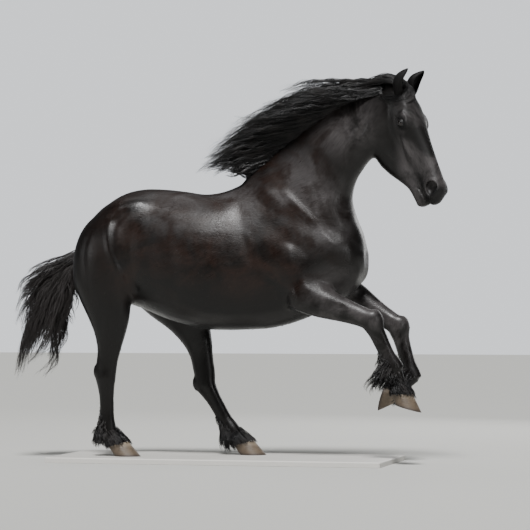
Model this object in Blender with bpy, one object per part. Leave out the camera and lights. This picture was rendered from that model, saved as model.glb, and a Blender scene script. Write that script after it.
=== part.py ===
"""A Friesian horse in canter, life size, standing on its two hind feet on a flat base.

Metres. +X is the way the horse faces, +Y is its left side and +Z is up. The origin is the
centre of the base's underside.
"""

import math
import random

import bmesh
import bpy
import numpy as np
from mathutils import Matrix, Vector
from mathutils.bvhtree import BVHTree

# Gap between pieces that meet, the slightly smaller one hair is trimmed by, and the display base
GAP = 0.0003
CLEARANCE = 0.9 * GAP
BASE_SIZE = (1.90, 0.72, 0.03)
BASE_MIDDLE_X = -0.08
BASE_EDGE = 0.006
GROUND = BASE_SIZE[2] + GAP

# Skin of the whole animal: grid size, blending and the number of faces that stay
VOXEL = 0.010
BLEND_LENGTH = 0.030
BODY_TRIANGLES = 5500
RING_POINTS = 28
LOFT_RINGS = 40
HEAD_THINNING = 0.99

# Trunk from the buttocks to the breast:
# x, top, height of the widest place, bottom, half width, roundness above and below
TRUNK = (
    (-0.900, 1.235, 1.100, 0.985, 0.100, 2.0, 2.0),
    (-0.850, 1.325, 1.110, 0.930, 0.185, 2.1, 2.1),
    (-0.770, 1.415, 1.130, 0.890, 0.235, 2.2, 2.1),
    (-0.670, 1.477, 1.150, 0.860, 0.265, 2.3, 2.1),
    (-0.560, 1.505, 1.140, 0.825, 0.275, 2.3, 2.1),
    (-0.440, 1.505, 1.100, 0.775, 0.285, 2.2, 2.1),
    (-0.310, 1.491, 1.080, 0.735, 0.302, 2.1, 2.2),
    (-0.190, 1.474, 1.060, 0.710, 0.312, 2.1, 2.2),
    (-0.070, 1.492, 1.050, 0.705, 0.302, 2.0, 2.2),
    (0.050, 1.540, 1.060, 0.708, 0.280, 1.8, 2.2),
    (0.160, 1.560, 1.070, 0.714, 0.258, 1.8, 2.2),
    (0.280, 1.545, 1.080, 0.738, 0.242, 1.9, 2.1),
    (0.400, 1.500, 1.090, 0.780, 0.232, 2.0, 2.0),
    (0.520, 1.420, 1.100, 0.835, 0.215, 2.0, 2.0),
    (0.620, 1.330, 1.110, 0.895, 0.185, 2.0, 2.0),
    (0.690, 1.235, 1.110, 0.965, 0.135, 2.0, 2.0),
    (0.725, 1.165, 1.110, 1.040, 0.070, 2.0, 2.0),
)

# Neck from the withers to the poll: crest x, y, z, throat x, y, z, half width,
# share of the way down to the widest place, roundness on the crest's side
NECK = (
    (-0.010, 0.000, 1.500, 0.715, 0.000, 1.060, 0.205, 0.52, 1.9),
    (0.060, 0.000, 1.590, 0.728, 0.000, 1.150, 0.195, 0.54, 1.8),
    (0.135, 0.000, 1.660, 0.712, 0.000, 1.235, 0.178, 0.56, 1.7),
    (0.262, -0.003, 1.765, 0.672, -0.004, 1.330, 0.150, 0.57, 1.7),
    (0.395, -0.012, 1.868, 0.650, -0.015, 1.425, 0.130, 0.58, 1.7),
    (0.535, -0.028, 1.958, 0.670, -0.032, 1.520, 0.117, 0.58, 1.7),
    (0.672, -0.050, 2.022, 0.724, -0.052, 1.604, 0.106, 0.56, 1.8),
    (0.795, -0.075, 2.060, 0.780, -0.074, 1.664, 0.096, 0.54, 1.9),
    (0.900, -0.100, 2.060, 0.850, -0.094, 1.740, 0.080, 0.50, 2.0),
)

# The head has its own frame: x down the face from the poll, y to its left, z out of the face
POLL = Vector((0.921, -0.100, 2.076))
HEAD_LEAN = math.radians(23.0)
HEAD_TURN = math.radians(22.0)

# Upper head: x, top, height of the widest place, bottom, half width, roundness above and below
SKULL = (
    (-0.030, -0.010, -0.050, -0.100, 0.045, 2.0, 2.0),
    (0.010, 0.028, -0.040, -0.120, 0.064, 2.0, 2.0),
    (0.060, 0.047, -0.035, -0.145, 0.077, 2.1, 2.0),
    (0.120, 0.058, -0.030, -0.160, 0.086, 2.3, 2.0),
    (0.185, 0.064, -0.022, -0.170, 0.093, 2.4, 2.0),
    (0.245, 0.064, -0.020, -0.165, 0.091, 2.4, 2.0),
    (0.310, 0.061, -0.020, -0.150, 0.078, 2.3, 2.0),
    (0.390, 0.058, -0.014, -0.135, 0.064, 2.2, 2.1),
    (0.470, 0.057, -0.010, -0.115, 0.055, 2.2, 2.1),
    (0.550, 0.056, -0.004, -0.092, 0.051, 2.2, 2.2),
    (0.610, 0.053, 0.000, -0.080, 0.055, 2.3, 2.3),
    (0.660, 0.049, -0.006, -0.074, 0.055, 2.3, 2.3),
    (0.702, 0.020, -0.020, -0.070, 0.044, 2.2, 2.2),
    (0.728, -0.015, -0.036, -0.064, 0.024, 2.0, 2.0),
)

# Lower jaw from the cheeks to the lip, in the same terms
JAW = (
    (0.050, -0.090, -0.150, -0.215, 0.045, 2.0, 2.0),
    (0.100, -0.080, -0.175, -0.262, 0.060, 2.1, 2.1),
    (0.165, -0.080, -0.190, -0.290, 0.068, 2.2, 2.2),
    (0.235, -0.080, -0.190, -0.299, 0.070, 2.2, 2.2),
    (0.305, -0.075, -0.178, -0.296, 0.066, 2.2, 2.2),
    (0.370, -0.070, -0.166, -0.288, 0.057, 2.1, 2.1),
    (0.450, -0.070, -0.150, -0.250, 0.047, 2.0, 2.0),
    (0.520, -0.070, -0.128, -0.202, 0.041, 2.0, 2.0),
    (0.575, -0.070, -0.114, -0.168, 0.040, 2.0, 2.0),
    (0.630, -0.072, -0.110, -0.154, 0.042, 2.1, 2.1),
    (0.676, -0.074, -0.106, -0.145, 0.039, 2.1, 2.1),
    (0.708, -0.076, -0.098, -0.124, 0.026, 2.0, 2.0),
)

# Rounded masses of the head: centre, then half sizes along x, y and z; the right one of each pair
HEAD_MASSES = (
    ((0.215, -0.052, -0.185), (0.115, 0.031, 0.102)),
    ((0.246, -0.080, -0.002), (0.054, 0.027, 0.036)),
    ((0.175, -0.063, 0.018), (0.050, 0.027, 0.030)),
    ((0.350, -0.058, -0.055), (0.105, 0.016, 0.014)),
    ((0.648, -0.042, 0.004), (0.044, 0.022, 0.038)),
    ((0.676, -0.012, -0.122), (0.030, 0.026, 0.026)),
    ((0.066, -0.052, 0.014), (0.036, 0.030, 0.030)),
)

EYE_CENTRE = (0.250, -0.0850, -0.016)
EYE_LOOK = (0.12, -0.96, -0.20)
EYE_LINE = (0.87, 0.0, 0.50)
EYE_RADIUS = 0.0250
EYE_RINGS = (7, 22, 40, 60, 82, 105)
EYE_POINTS = 14
LID_RADIUS = 0.0062
LID_POINTS = 14
EYE_HALF_OPENING = 0.0240
EYE_LIFT = 0.0155

NOSTRIL = (0.646, -0.068, 0.006)
NOSTRIL_RADII = (0.027, 0.022, 0.019)
NOSTRIL_TILT = math.radians(35)

# The line where the lips meet, from the corner to the front: x, z
MOUTH_LINE = ((0.612, -0.086), (0.660, -0.080), (0.700, -0.074), (0.745, -0.062))
MOUTH_GROOVE = 0.0032

# Ears: root, tip, broadest half width, wall and the turn of the open side, in the head's frame
EAR_ROOT = (0.070, -0.062, 0.018)
EAR_TIP = (-0.008, -0.082, 0.132)
EAR_WALL = 0.006
EAR_RINGS = 9
EAR_SIDE_POINTS = 7
# share of the length, half width, depth as a share of it, degrees left open
EAR_SHAPE = (
    (-0.12, 0.020, 1.00, 6),
    (0.00, 0.025, 0.98, 12),
    (0.18, 0.031, 0.90, 80),
    (0.40, 0.035, 0.80, 125),
    (0.62, 0.031, 0.75, 130),
    (0.82, 0.019, 0.75, 110),
    (0.94, 0.009, 0.80, 70),
    (1.00, 0.0030, 0.90, 20),
)
EAR_TURN = {"right": math.radians(-30), "left": math.radians(5)}

# Fore legs. A joint is (x, y, z) with the ground at z 0
FORE_JOINTS = {
    "right": {
        "elbow": (0.395, -0.185, 0.905),
        "knee": (0.788, -0.165, 0.765),
        "fetlock": (0.916, -0.150, 0.500),
        "coronet": (0.948, -0.145, 0.360),
        "toe": (0.961, 0.00, -0.275),
    },
    "left": {
        "elbow": (0.515, 0.185, 0.955),
        "knee": (0.872, 0.165, 0.732),
        "fetlock": (0.957, 0.150, 0.446),
        "coronet": (0.862, 0.146, 0.366),
        "toe": (-0.30, 0.00, -0.954),
    },
}

# Hind legs below the hock, in the same terms
HIND_JOINTS = {
    "right": {
        "hock": (-0.738, -0.150, 0.452),
        "fetlock": (-0.728, -0.140, 0.136),
        "coronet": (-0.672, -0.142, 0.064),
        "toe": (1.0, -0.06, 0.0),
    },
    "left": {
        "hock": (-0.245, 0.155, 0.405),
        "fetlock": (-0.080, 0.145, 0.132),
        "coronet": (-0.020, 0.147, 0.064),
        "toe": (1.0, 0.06, 0.0),
    },
}

# Sections along a limb: share of its length, front, back and side half sizes
FOREARM = (
    (-0.12, 0.080, 0.090, 0.078),
    (0.00, 0.098, 0.098, 0.082),
    (0.18, 0.100, 0.096, 0.076),
    (0.38, 0.084, 0.084, 0.066),
    (0.60, 0.068, 0.070, 0.055),
    (0.80, 0.058, 0.060, 0.049),
    (1.00, 0.058, 0.058, 0.050),
)
KNEE = (
    (-0.16, 0.056, 0.056, 0.050),
    (-0.04, 0.068, 0.062, 0.056),
    (0.08, 0.066, 0.064, 0.054),
    (0.20, 0.052, 0.056, 0.044),
)
FORE_CANNON = (
    (0.00, 0.058, 0.060, 0.048),
    (0.22, 0.045, 0.054, 0.038),
    (0.50, 0.039, 0.051, 0.033),
    (0.76, 0.039, 0.052, 0.035),
    (0.92, 0.049, 0.060, 0.042),
    (1.04, 0.050, 0.058, 0.043),
)
HIND_CANNON = (
    (-0.12, 0.050, 0.048, 0.040),
    (0.02, 0.056, 0.066, 0.046),
    (0.16, 0.048, 0.058, 0.040),
    (0.32, 0.041, 0.049, 0.034),
    (0.55, 0.038, 0.047, 0.031),
    (0.78, 0.038, 0.050, 0.033),
    (0.93, 0.047, 0.057, 0.040),
    (1.04, 0.048, 0.054, 0.042),
)
PASTERN = (
    (-0.10, 0.040, 0.046, 0.040),
    (0.30, 0.038, 0.038, 0.036),
    (0.65, 0.042, 0.040, 0.041),
    (1.00, 0.054, 0.046, 0.052),
    (1.14, 0.054, 0.046, 0.052),
)

# Haunch, thigh and gaskin: height, rear and front x, inner and outer y of a level section
HIND_UPPER = {
    "right": (
        (1.400, -0.760, -0.520, -0.040, -0.180),
        (1.300, -0.860, -0.470, -0.030, -0.252),
        (1.180, -0.915, -0.475, -0.020, -0.288),
        (1.060, -0.928, -0.520, -0.020, -0.292),
        (0.960, -0.920, -0.570, -0.030, -0.284),
        (0.870, -0.885, -0.592, -0.050, -0.268),
        (0.780, -0.842, -0.600, -0.072, -0.248),
        (0.690, -0.806, -0.622, -0.090, -0.224),
        (0.600, -0.790, -0.650, -0.105, -0.204),
        (0.520, -0.796, -0.672, -0.110, -0.194),
        (0.450, -0.800, -0.682, -0.108, -0.192),
    ),
    "left": (
        (1.400, -0.740, -0.480, 0.040, 0.180),
        (1.300, -0.820, -0.430, 0.030, 0.252),
        (1.180, -0.850, -0.400, 0.020, 0.290),
        (1.060, -0.830, -0.350, 0.020, 0.300),
        (0.960, -0.760, -0.290, 0.030, 0.300),
        (0.870, -0.672, -0.250, 0.050, 0.290),
        (0.790, -0.580, -0.228, 0.070, 0.272),
        (0.710, -0.466, -0.218, 0.088, 0.248),
        (0.630, -0.384, -0.206, 0.104, 0.222),
        (0.550, -0.336, -0.200, 0.112, 0.206),
        (0.470, -0.316, -0.188, 0.112, 0.202),
        (0.400, -0.296, -0.186, 0.110, 0.200),
    ),
}

# Point of the hock behind the joint: centre, then half sizes
HOCK_POINTS = {
    "right": ((-0.786, -0.150, 0.474), (0.030, 0.026, 0.050)),
    "left": ((-0.292, 0.155, 0.405), (0.030, 0.026, 0.050)),
}

# Masses that round out the trunk: centre, half sizes, turn about y in degrees
MASSES = (
    ((0.560, -0.110, 1.150), (0.130, 0.085, 0.140), -30),
    ((0.330, -0.170, 1.060), (0.170, 0.085, 0.200), -35),
    ((0.330, -0.110, 1.330), (0.130, 0.085, 0.260), -50),
    ((0.630, -0.070, 1.060), (0.085, 0.070, 0.110), 0),
    ((-0.640, -0.110, 1.340), (0.220, 0.130, 0.115), -22),
    ((0.570, 0.110, 1.160), (0.130, 0.085, 0.140), -30),
    ((0.370, 0.170, 1.080), (0.170, 0.085, 0.190), -30),
    ((0.340, 0.110, 1.340), (0.130, 0.085, 0.260), -50),
    ((0.640, 0.070, 1.060), (0.085, 0.070, 0.110), 0),
    ((-0.620, 0.110, 1.340), (0.220, 0.130, 0.115), -22),
)

# Muscles, grooves and bones under the skin, as seen from the side: which side, path of x and z,
# radius, height above the surface
BODY_RELIEF = (
    ("both", ((0.24, 1.58), (0.44, 1.40), (0.62, 1.24)), 0.050, -0.013),
    ("both", ((0.14, 1.45), (0.34, 1.30), (0.56, 1.17)), 0.090, 0.014),
    ("both", ((0.04, 1.38), (0.13, 1.14), (0.27, 0.93)), 0.055, -0.013),
    ("both", ((0.22, 1.17), (0.34, 1.02)), 0.120, 0.016),
    ("both", ((0.600, 1.150),), 0.065, 0.010),
    ("both", ((0.46, 1.22), (0.40, 1.10), (0.48, 0.98)), 0.040, -0.009),
    ("both", ((0.74, 1.66), (0.67, 1.50), (0.63, 1.36), (0.66, 1.25)), 0.035, -0.011),
    ("both", ((0.66, 1.70), (0.57, 1.50), (0.52, 1.32)), 0.055, 0.009),
    ("both", ((0.50, 1.86), (0.36, 1.66), (0.28, 1.52)), 0.070, 0.008),
    ("both", ((-0.500, 1.415),), 0.050, 0.014),
    ("both", ((-0.400, 1.300),), 0.100, -0.013),
    ("right", ((-0.53, 1.40), (-0.645, 1.27), (-0.655, 1.12), (-0.60, 0.96)), 0.045, 0.014),
    ("right", ((-0.46, 1.34), (-0.565, 1.23), (-0.575, 1.10), (-0.535, 0.94)), 0.050, -0.015),
    ("right", ((-0.77, 1.38), (-0.84, 1.20), (-0.82, 1.00), (-0.78, 0.84)), 0.030, -0.008),
    ("right", ((-0.600, 0.930), (-0.575, 0.870)), 0.025, 0.008),
    ("right", ((-0.74, 0.80), (-0.745, 0.64), (-0.76, 0.52)), 0.028, -0.008),
    ("left", ((-0.50, 1.40), (-0.37, 1.16), (-0.27, 0.90)), 0.055, 0.012),
    ("left", ((-0.42, 1.34), (-0.29, 1.12), (-0.19, 0.92)), 0.050, -0.012),
    ("left", ((-0.72, 1.36), (-0.75, 1.15), (-0.66, 0.95), (-0.48, 0.74)), 0.030, -0.008),
    ("left", ((-0.42, 0.72), (-0.33, 0.58), (-0.28, 0.48)), 0.028, -0.008),
)

# The same on the head, in its own frame
HEAD_RELIEF = (
    ("both", ((0.06, -0.16), (0.11, -0.23), (0.19, -0.29), (0.29, -0.29)), 0.030, 0.006),
    ("both", ((0.335, -0.075), (0.350, -0.150), (0.335, -0.240)), 0.022, -0.006),
    ("both", ((0.29, -0.046), (0.43, -0.072)), 0.016, 0.006),
    ("both", ((0.31, -0.078), (0.45, -0.102)), 0.024, -0.006),
    ("both", ((0.175, 0.000), (0.225, 0.020), (0.280, 0.006)), 0.022, 0.005),
    ("both", ((0.155, 0.026),), 0.022, -0.008),
    ("both", ((0.36, 0.020), (0.60, 0.030)), 0.024, -0.005),
    ("both", ((0.600, -0.146),), 0.020, -0.007),
    ("both", ((0.628, 0.030), (0.668, 0.026), (0.678, -0.004), (0.650, -0.022)), 0.016, 0.007),
)

# Grooves and swellings seen from the front (y, z) and from above (x, y)
BREAST_RELIEF = (
    (((0.0, 1.32), (0.0, 0.98)), 0.040, -0.015),
    (((-0.090, 1.13),), 0.080, 0.012),
    (((0.090, 1.13),), 0.080, 0.012),
)
BACK_RELIEF = ((((-0.80, 0.0), (-0.10, 0.0)), 0.040, -0.007),)

# Hoof: height at the toe and heel, then length and width at the ground and at the coronet
HOOF_TOE_HEIGHT = 0.082
HOOF_HEEL_HEIGHT = 0.050
HOOF_GROUND = (0.142, 0.132)
HOOF_CORONET = (0.106, 0.106)
HOOF_SLOPE = 0.052
HOOF_MIDDLE_HEIGHT = 0.064
HOOF_EDGE = 0.003
HOOF_ROOM = ((0.0, 0.16), (-0.11, 0.11), (-0.085, 0.085))
HOOF_POINTS = 16

# Where the skin is parted into nodes: a point of the cutting plane, the way into the piece,
# and the piece's reach along it, up the leg's plane and towards the left
HEAD_CUT = ((0.790, -0.100, 2.100), (0.950, -0.280, -0.110), (0.0, 0.6), (-0.3, 0.76), (-0.5, 0.5))
NECK_CUT = ((0.020, 0.000, 1.550), (0.427, 0.000, 0.904), (0.0, 1.5), (-1.2, 1.2), (-0.6, 0.6))
THIGH_CUTS = {
    "right": ((-0.560, -0.012, 0.930), (-0.220, 0.0, -0.976), (0.0, 0.7), (-0.05, 0.6), (-0.5, 0.0)),
    "left": ((-0.180, 0.075, 0.740), (-0.361, 0.0, -0.933), (0.0, 0.7), (-0.30, 0.7), (0.0, 0.5)),
}
FOREARM_START = 0.100
FOREARM_REACH = ((0.0, 0.6), (-0.105, 0.180), (-0.190, 0.095))
CANNON_START = 0.085
HOCK_ABOVE = 0.105
SHANK_REACH = ((0.0, 0.7), (-0.26, 0.26), (-0.13, 0.13))

# Height above the ground that hair keeps clear of
CLEAR_FLOOR = 0.004

# Hair. Every lock is flat: half width, half thickness and points along it
LOCK_POINTS = 6
SUNK = 0.020
LYING = 0.011

# Mane: place along the crest counted from the poll, then the tip's x and z
MANE_TIPS = (
    (0.00, 0.400, 2.020),
    (0.10, 0.250, 1.960),
    (0.25, 0.080, 1.885),
    (0.38, -0.050, 1.795),
    (0.50, -0.150, 1.700),
    (0.62, -0.215, 1.620),
    (0.75, -0.165, 1.595),
    (0.88, -0.060, 1.600),
    (1.00, 0.010, 1.590),
)
MANE_ROOTS = (7.75, 0.95)
# Layers of the mane: locks, root y, tip y, lift at the root, half width, half thickness
MANE_LAYERS = (
    (14, 0.000, -0.010, -0.02, 0.037, 0.0090),
    (13, -0.042, -0.095, -0.42, 0.036, 0.0085),
    (8, 0.028, 0.085, -0.05, 0.035, 0.0085),
)
MANE_WAVE = (0.012, 0.17)

# Tail: the dock's line, then the ends of its locks in the order they leave it
DOCK = (
    (0.00, -0.850, 0.000, 1.200, 0.036),
    (0.30, -0.945, 0.000, 1.120, 0.050),
    (0.60, -1.040, 0.000, 0.990, 0.062),
    (0.85, -1.100, 0.000, 0.860, 0.056),
    (1.00, -1.130, 0.000, 0.780, 0.018),
)
TAIL_TIPS = (
    (0.00, -1.290, 0.930),
    (0.16, -1.300, 0.780),
    (0.34, -1.290, 0.640),
    (0.48, -1.262, 0.500),
    (0.58, -1.355, 0.425),
    (0.68, -1.190, 0.455),
    (0.78, -1.130, 0.580),
    (0.90, -1.070, 0.700),
    (1.00, -1.000, 0.820),
)
TAIL_LOCKS = 25
TAIL_SIZE = (0.047, 0.0130)
TAIL_SPREAD = 0.110
TAIL_WAVE = (0.014, 0.17)

# Fetlock hair behind the joint and the short fringe over the coronet
FEATHER_LOCKS = 8
FEATHER_SIZE = (0.0330, 0.0120)
FEATHER_CORE = ((0.030, 0.004), (0.044, 0.048, 0.050))
FEATHER_REACH = {"fore": (0.110, 0.060), "hind": (0.040, 0.085)}
FRINGE_LOCKS = 4
FRINGE_SIZE = (0.0190, 0.0040)
FRINGE_LENGTH = 0.030

# Forelock, in the head's frame: swept from the poll round the near ear
FORELOCK = (
    (0.012, 0.004, 0.030),
    (0.060, -0.012, 0.062),
    (0.108, -0.046, 0.062),
    (0.118, -0.082, 0.016),
    (0.092, -0.096, -0.050),
    (0.040, -0.096, -0.100),
    (-0.020, -0.090, -0.130),
)
FORELOCK_LOCKS = 3
FORELOCK_SIZE = (0.0170, 0.0065)


def resample(rows, count):
    """Smooth rows between the given ones. The first column is the place along the piece."""
    rows = np.array(rows, float)
    place = rows[:, 0]
    slopes = np.gradient(rows, place, axis=0)
    at = np.linspace(place[0], place[-1], count)
    k = np.clip(np.searchsorted(place, at) - 1, 0, len(place) - 2)
    span = (place[k + 1] - place[k])[:, None]
    u = (at - place[k])[:, None] / span
    start, end = rows[k], rows[k + 1]
    leave, arrive = slopes[k] * span, slopes[k + 1] * span
    return (
        (2 * u**3 - 3 * u**2 + 1) * start
        + (u**3 - 2 * u**2 + u) * leave
        + (3 * u**2 - 2 * u**3) * end
        + (u**3 - u**2) * arrive
    )


def section(centre, side, up, width, rise, drop, power_up=2.0, power_down=2.0, count=RING_POINTS):
    """Points of a rounded section: width to each side, rise above the centre, drop below it."""
    centre, side, up = Vector(centre), Vector(side), Vector(up)
    points = []
    for k in range(count):
        angle = math.tau * k / count
        c, s = math.cos(angle), math.sin(angle)
        power = power_up if s > 0 else power_down
        across = width * math.copysign(abs(c) ** (2 / power), c)
        height = (rise if s > 0 else drop) * math.copysign(abs(s) ** (2 / power), s)
        points.append(centre + side * across + up * height)
    return points


def add_loft(bm, rings):
    """Skins closed rings of points and caps both ends."""
    rows = [[bm.verts.new(p) for p in ring] for ring in rings]
    for low, high in zip(rows, rows[1:]):
        for i in range(len(low)):
            j = (i + 1) % len(low)
            bm.faces.new((low[i], low[j], high[j], high[i]))
    bm.faces.new(list(reversed(rows[0])))
    bm.faces.new(rows[-1])


def add_ball(bm, centre, radii, turn=Matrix.Identity(4), detail=3):
    """An ellipsoid with its own axes turned by a matrix."""
    place = Matrix.Translation(centre) @ turn @ Matrix.Diagonal((*radii, 1.0))
    bmesh.ops.create_icosphere(bm, subdivisions=detail, radius=1.0, matrix=place)


def add_limb(bm, start, end, rows):
    """A stretch of leg from one joint to the next, with the bone's front turned up the leg's plane."""
    start, end = Vector(start), Vector(end)
    along = end - start
    front = along.cross(Vector((0, 1, 0))).normalized()
    side = front.cross(along).normalized()
    rings = []
    for share, ahead, behind, width in resample(rows, 14):
        rings.append(section(start + along * share, side, front, width, ahead, behind))
    add_loft(bm, rings)


def mesh_object(name, bm, material=None):
    """Closes a bmesh into a named object."""
    bmesh.ops.recalc_face_normals(bm, faces=bm.faces)
    mesh = bpy.data.meshes.new(name)
    bm.to_mesh(mesh)
    bm.free()
    made = bpy.data.objects.new(name, mesh)
    bpy.context.scene.collection.objects.link(made)
    if material:
        mesh.materials.append(material)
    return made


def applied(made):
    """Replaces an object's mesh by what its modifiers make of it."""
    bpy.context.view_layer.update()
    graph = bpy.context.evaluated_depsgraph_get()
    mesh = bpy.data.meshes.new_from_object(made.evaluated_get(graph))
    made.modifiers.clear()
    old, made.data = made.data, mesh
    bpy.data.meshes.remove(old)
    return made


def boolean(made, operation, others, solver="EXACT"):
    """Joins, cuts or keeps what is common with other objects, which are then removed."""
    tools = bpy.data.collections.new("tools")
    for other in others:
        tools.objects.link(other)
    change = made.modifiers.new(operation.lower(), "BOOLEAN")
    change.operation = operation
    change.operand_type = "COLLECTION"
    change.collection = tools
    change.solver = solver
    applied(made)
    for other in others:
        bpy.data.objects.remove(other)
    bpy.data.collections.remove(tools)
    return made


def keep_largest(made):
    """Drops all but the closed surface with the largest box."""
    bm = bmesh.new()
    bm.from_mesh(made.data)
    bmesh.ops.remove_doubles(bm, verts=bm.verts, dist=1e-6)
    bmesh.ops.triangulate(bm, faces=bm.faces)
    left, islands = set(bm.faces), []
    while left:
        island, front = [], [left.pop()]
        while front:
            face = front.pop()
            island.append(face)
            pairs = [side.link_faces for side in face.edges if len(side.link_faces) == 2]
            for other in {face for pair in pairs for face in pair} & left:
                left.discard(other)
                front.append(other)
        islands.append(island)

    def spread(island):
        points = np.array([v.co for face in island for v in face.verts])
        return float(np.linalg.norm(points.max(0) - points.min(0)))

    islands.sort(key=spread)
    scrap = [face for island in islands[:-1] for face in island]
    bmesh.ops.delete(bm, geom=scrap, context="FACES")
    bm.to_mesh(made.data)
    bm.free()
    return made


def copy_of(made, name):
    """A second object with a mesh of its own."""
    twin = bpy.data.objects.new(name, made.data.copy())
    bpy.context.scene.collection.objects.link(twin)
    return twin


def swollen(made, by):
    """A copy of a solid, grown outwards by a small distance."""
    twin = copy_of(made, made.name + "_swollen")
    push = twin.modifiers.new("grow", "DISPLACE")
    push.strength = by
    push.mid_level = 0.0
    return applied(twin)


def seat(made, carrier):
    """Trims a piece where it would enter its carrier, and leaves the gap."""
    return keep_largest(boolean(made, "DIFFERENCE", [swollen(carrier, CLEARANCE)]))


def cell(name, point, along, reach, plane=(0, 1, 0), grow=0.0):
    """A box at a point, with its reach along one way, in the leg's plane and across it."""
    x = Vector(along).normalized()
    y = Vector(plane).cross(x).normalized()
    z = x.cross(y)
    turn = Matrix((x, y, z)).transposed().to_4x4()
    low = Vector([a - grow for a, b in reach])
    high = Vector([b + grow for a, b in reach])
    bm = bmesh.new()
    size = Matrix.Diagonal((*(high - low), 1.0))
    place = Matrix.Translation(point) @ turn @ Matrix.Translation((low + high) / 2) @ size
    bmesh.ops.create_cube(bm, size=1.0, matrix=place)
    return mesh_object(name, bm)


def part_off(rest, name, point, along, reach, plane=(0, 1, 0)):
    """Takes what lies in a box off the rest as its own piece, and leaves the gap."""
    piece = copy_of(rest, name)
    boolean(piece, "INTERSECT", [cell("inside", point, along, reach, plane)])
    boolean(rest, "DIFFERENCE", [cell("outside", point, along, reach, plane, GAP)])
    keep_largest(rest)
    return keep_largest(piece)


def head_matrix():
    """Turns the head's own frame into the horse's."""
    ahead = Vector((math.cos(HEAD_TURN), -math.sin(HEAD_TURN), 0))
    down_face = ahead * math.sin(HEAD_LEAN) - Vector((0, 0, math.cos(HEAD_LEAN)))
    left = Vector((math.sin(HEAD_TURN), math.cos(HEAD_TURN), 0))
    out = down_face.cross(left)
    return Matrix.Translation(POLL) @ Matrix((down_face, left, out)).transposed().to_4x4()


def mirrored(point, side):
    """The right side's point, or its twin on the left."""
    return Vector((point[0], point[1] if side == "right" else -point[1], point[2]))


def add_trunk(bm):
    rings = []
    for x, top, widest, bottom, width, power_up, power_down in resample(TRUNK, LOFT_RINGS):
        rings.append(
            section((x, 0, widest), (0, 1, 0), (0, 0, 1), width, top - widest, widest - bottom,
                    power_up, power_down)
        )
    add_loft(bm, rings)
    for centre, radii, degrees in MASSES:
        add_ball(bm, centre, radii, Matrix.Rotation(math.radians(degrees), 4, "Y"))


def add_neck(bm):
    rows = [(k, *row) for k, row in enumerate(NECK)]
    rings = []
    for row in resample(rows, LOFT_RINGS):
        crest, throat = Vector(row[1:4]), Vector(row[4:7])
        width, share, power = row[7:10]
        down = throat - crest
        centre = crest + down * share
        up = -down.normalized()
        side = Vector((0, 1, 0))
        side = (side - up * side.dot(up)).normalized()
        rise, drop = down.length * share, down.length * (1 - share)
        rings.append(section(centre, side, up, width, rise, drop, power, 2.1))
    add_loft(bm, rings)


def add_head(bm):
    head = bmesh.new()
    for rows in (SKULL, JAW):
        rings = []
        for x, top, widest, bottom, width, power_up, power_down in resample(rows, LOFT_RINGS):
            rings.append(
                section((x, 0, widest), (0, 1, 0), (0, 0, 1), width, top - widest,
                        widest - bottom, power_up, power_down)
            )
        add_loft(head, rings)
    for side in ("right", "left"):
        for centre, radii in HEAD_MASSES:
            add_ball(head, mirrored(centre, side), radii)
    bmesh.ops.recalc_face_normals(head, faces=head.faces)
    bmesh.ops.transform(head, matrix=head_matrix(), verts=head.verts)
    scrap = bpy.data.meshes.new("head_scrap")
    head.to_mesh(scrap)
    head.free()
    bm.from_mesh(scrap)
    bpy.data.meshes.remove(scrap)


def add_fore_leg(bm, joints):
    add_limb(bm, joints["elbow"], joints["knee"], FOREARM)
    add_limb(bm, joints["knee"], joints["fetlock"], KNEE)
    add_limb(bm, joints["knee"], joints["fetlock"], FORE_CANNON)
    add_limb(bm, joints["fetlock"], joints["coronet"], PASTERN)


def add_hind_leg(bm, side):
    joints = HIND_JOINTS[side]
    rings = []
    for z, rear, front, inner, outer in resample(
        [(-row[0], *row[1:]) for row in HIND_UPPER[side]], LOFT_RINGS
    ):
        centre = ((rear + front) / 2, (inner + outer) / 2, -z)
        half = (front - rear) / 2
        rings.append(
            section(centre, (0, 1, 0), (1, 0, 0), abs(outer - inner) / 2, half, half, 2.2, 2.2)
        )
    add_loft(bm, rings)
    add_ball(bm, *HOCK_POINTS[side])
    add_limb(bm, joints["hock"], joints["fetlock"], HIND_CANNON)
    add_limb(bm, joints["fetlock"], joints["coronet"], PASTERN)


def softness(points):
    """How much each place is blended: fully on the trunk, little on the head and lower legs."""
    x, z = points[:, 0], points[:, 2]
    fore = np.clip((z - 0.80) / 0.20, 0.0, 1.0)
    hind = np.clip((z - 0.45) / 0.35, 0.0, 1.0)
    leg = np.where(x > 0.35, fore, hind)
    poll = np.array(POLL)
    ahead = np.clip((x - 0.86 + 0.45 * (z - poll[2])) / 0.10, 0.0, 1.0) * (z > 1.3)
    return np.clip(np.minimum(leg, 1.0 - 0.80 * ahead), 0.22, 1.0)


def press(points, normals, across, up, facing, path, radius, height):
    """Raises or sinks the skin along a path drawn in one view of it."""
    spot = points[:, (across, up)]
    path = np.array(path if len(path) > 1 else [*path, *path], float)
    away = np.full(len(points), np.inf)
    for a, b in zip(path, path[1:]):
        span = b - a
        along = np.clip((spot - a) @ span / max(span @ span, 1e-12), 0.0, 1.0)
        away = np.minimum(away, np.linalg.norm(spot - a - along[:, None] * span, axis=1))
    fall = np.clip(1.0 - (away / radius) ** 2, 0.0, 1.0) ** 2
    return height * fall * np.sqrt(np.clip(facing, 0.0, 1.0))


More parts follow.
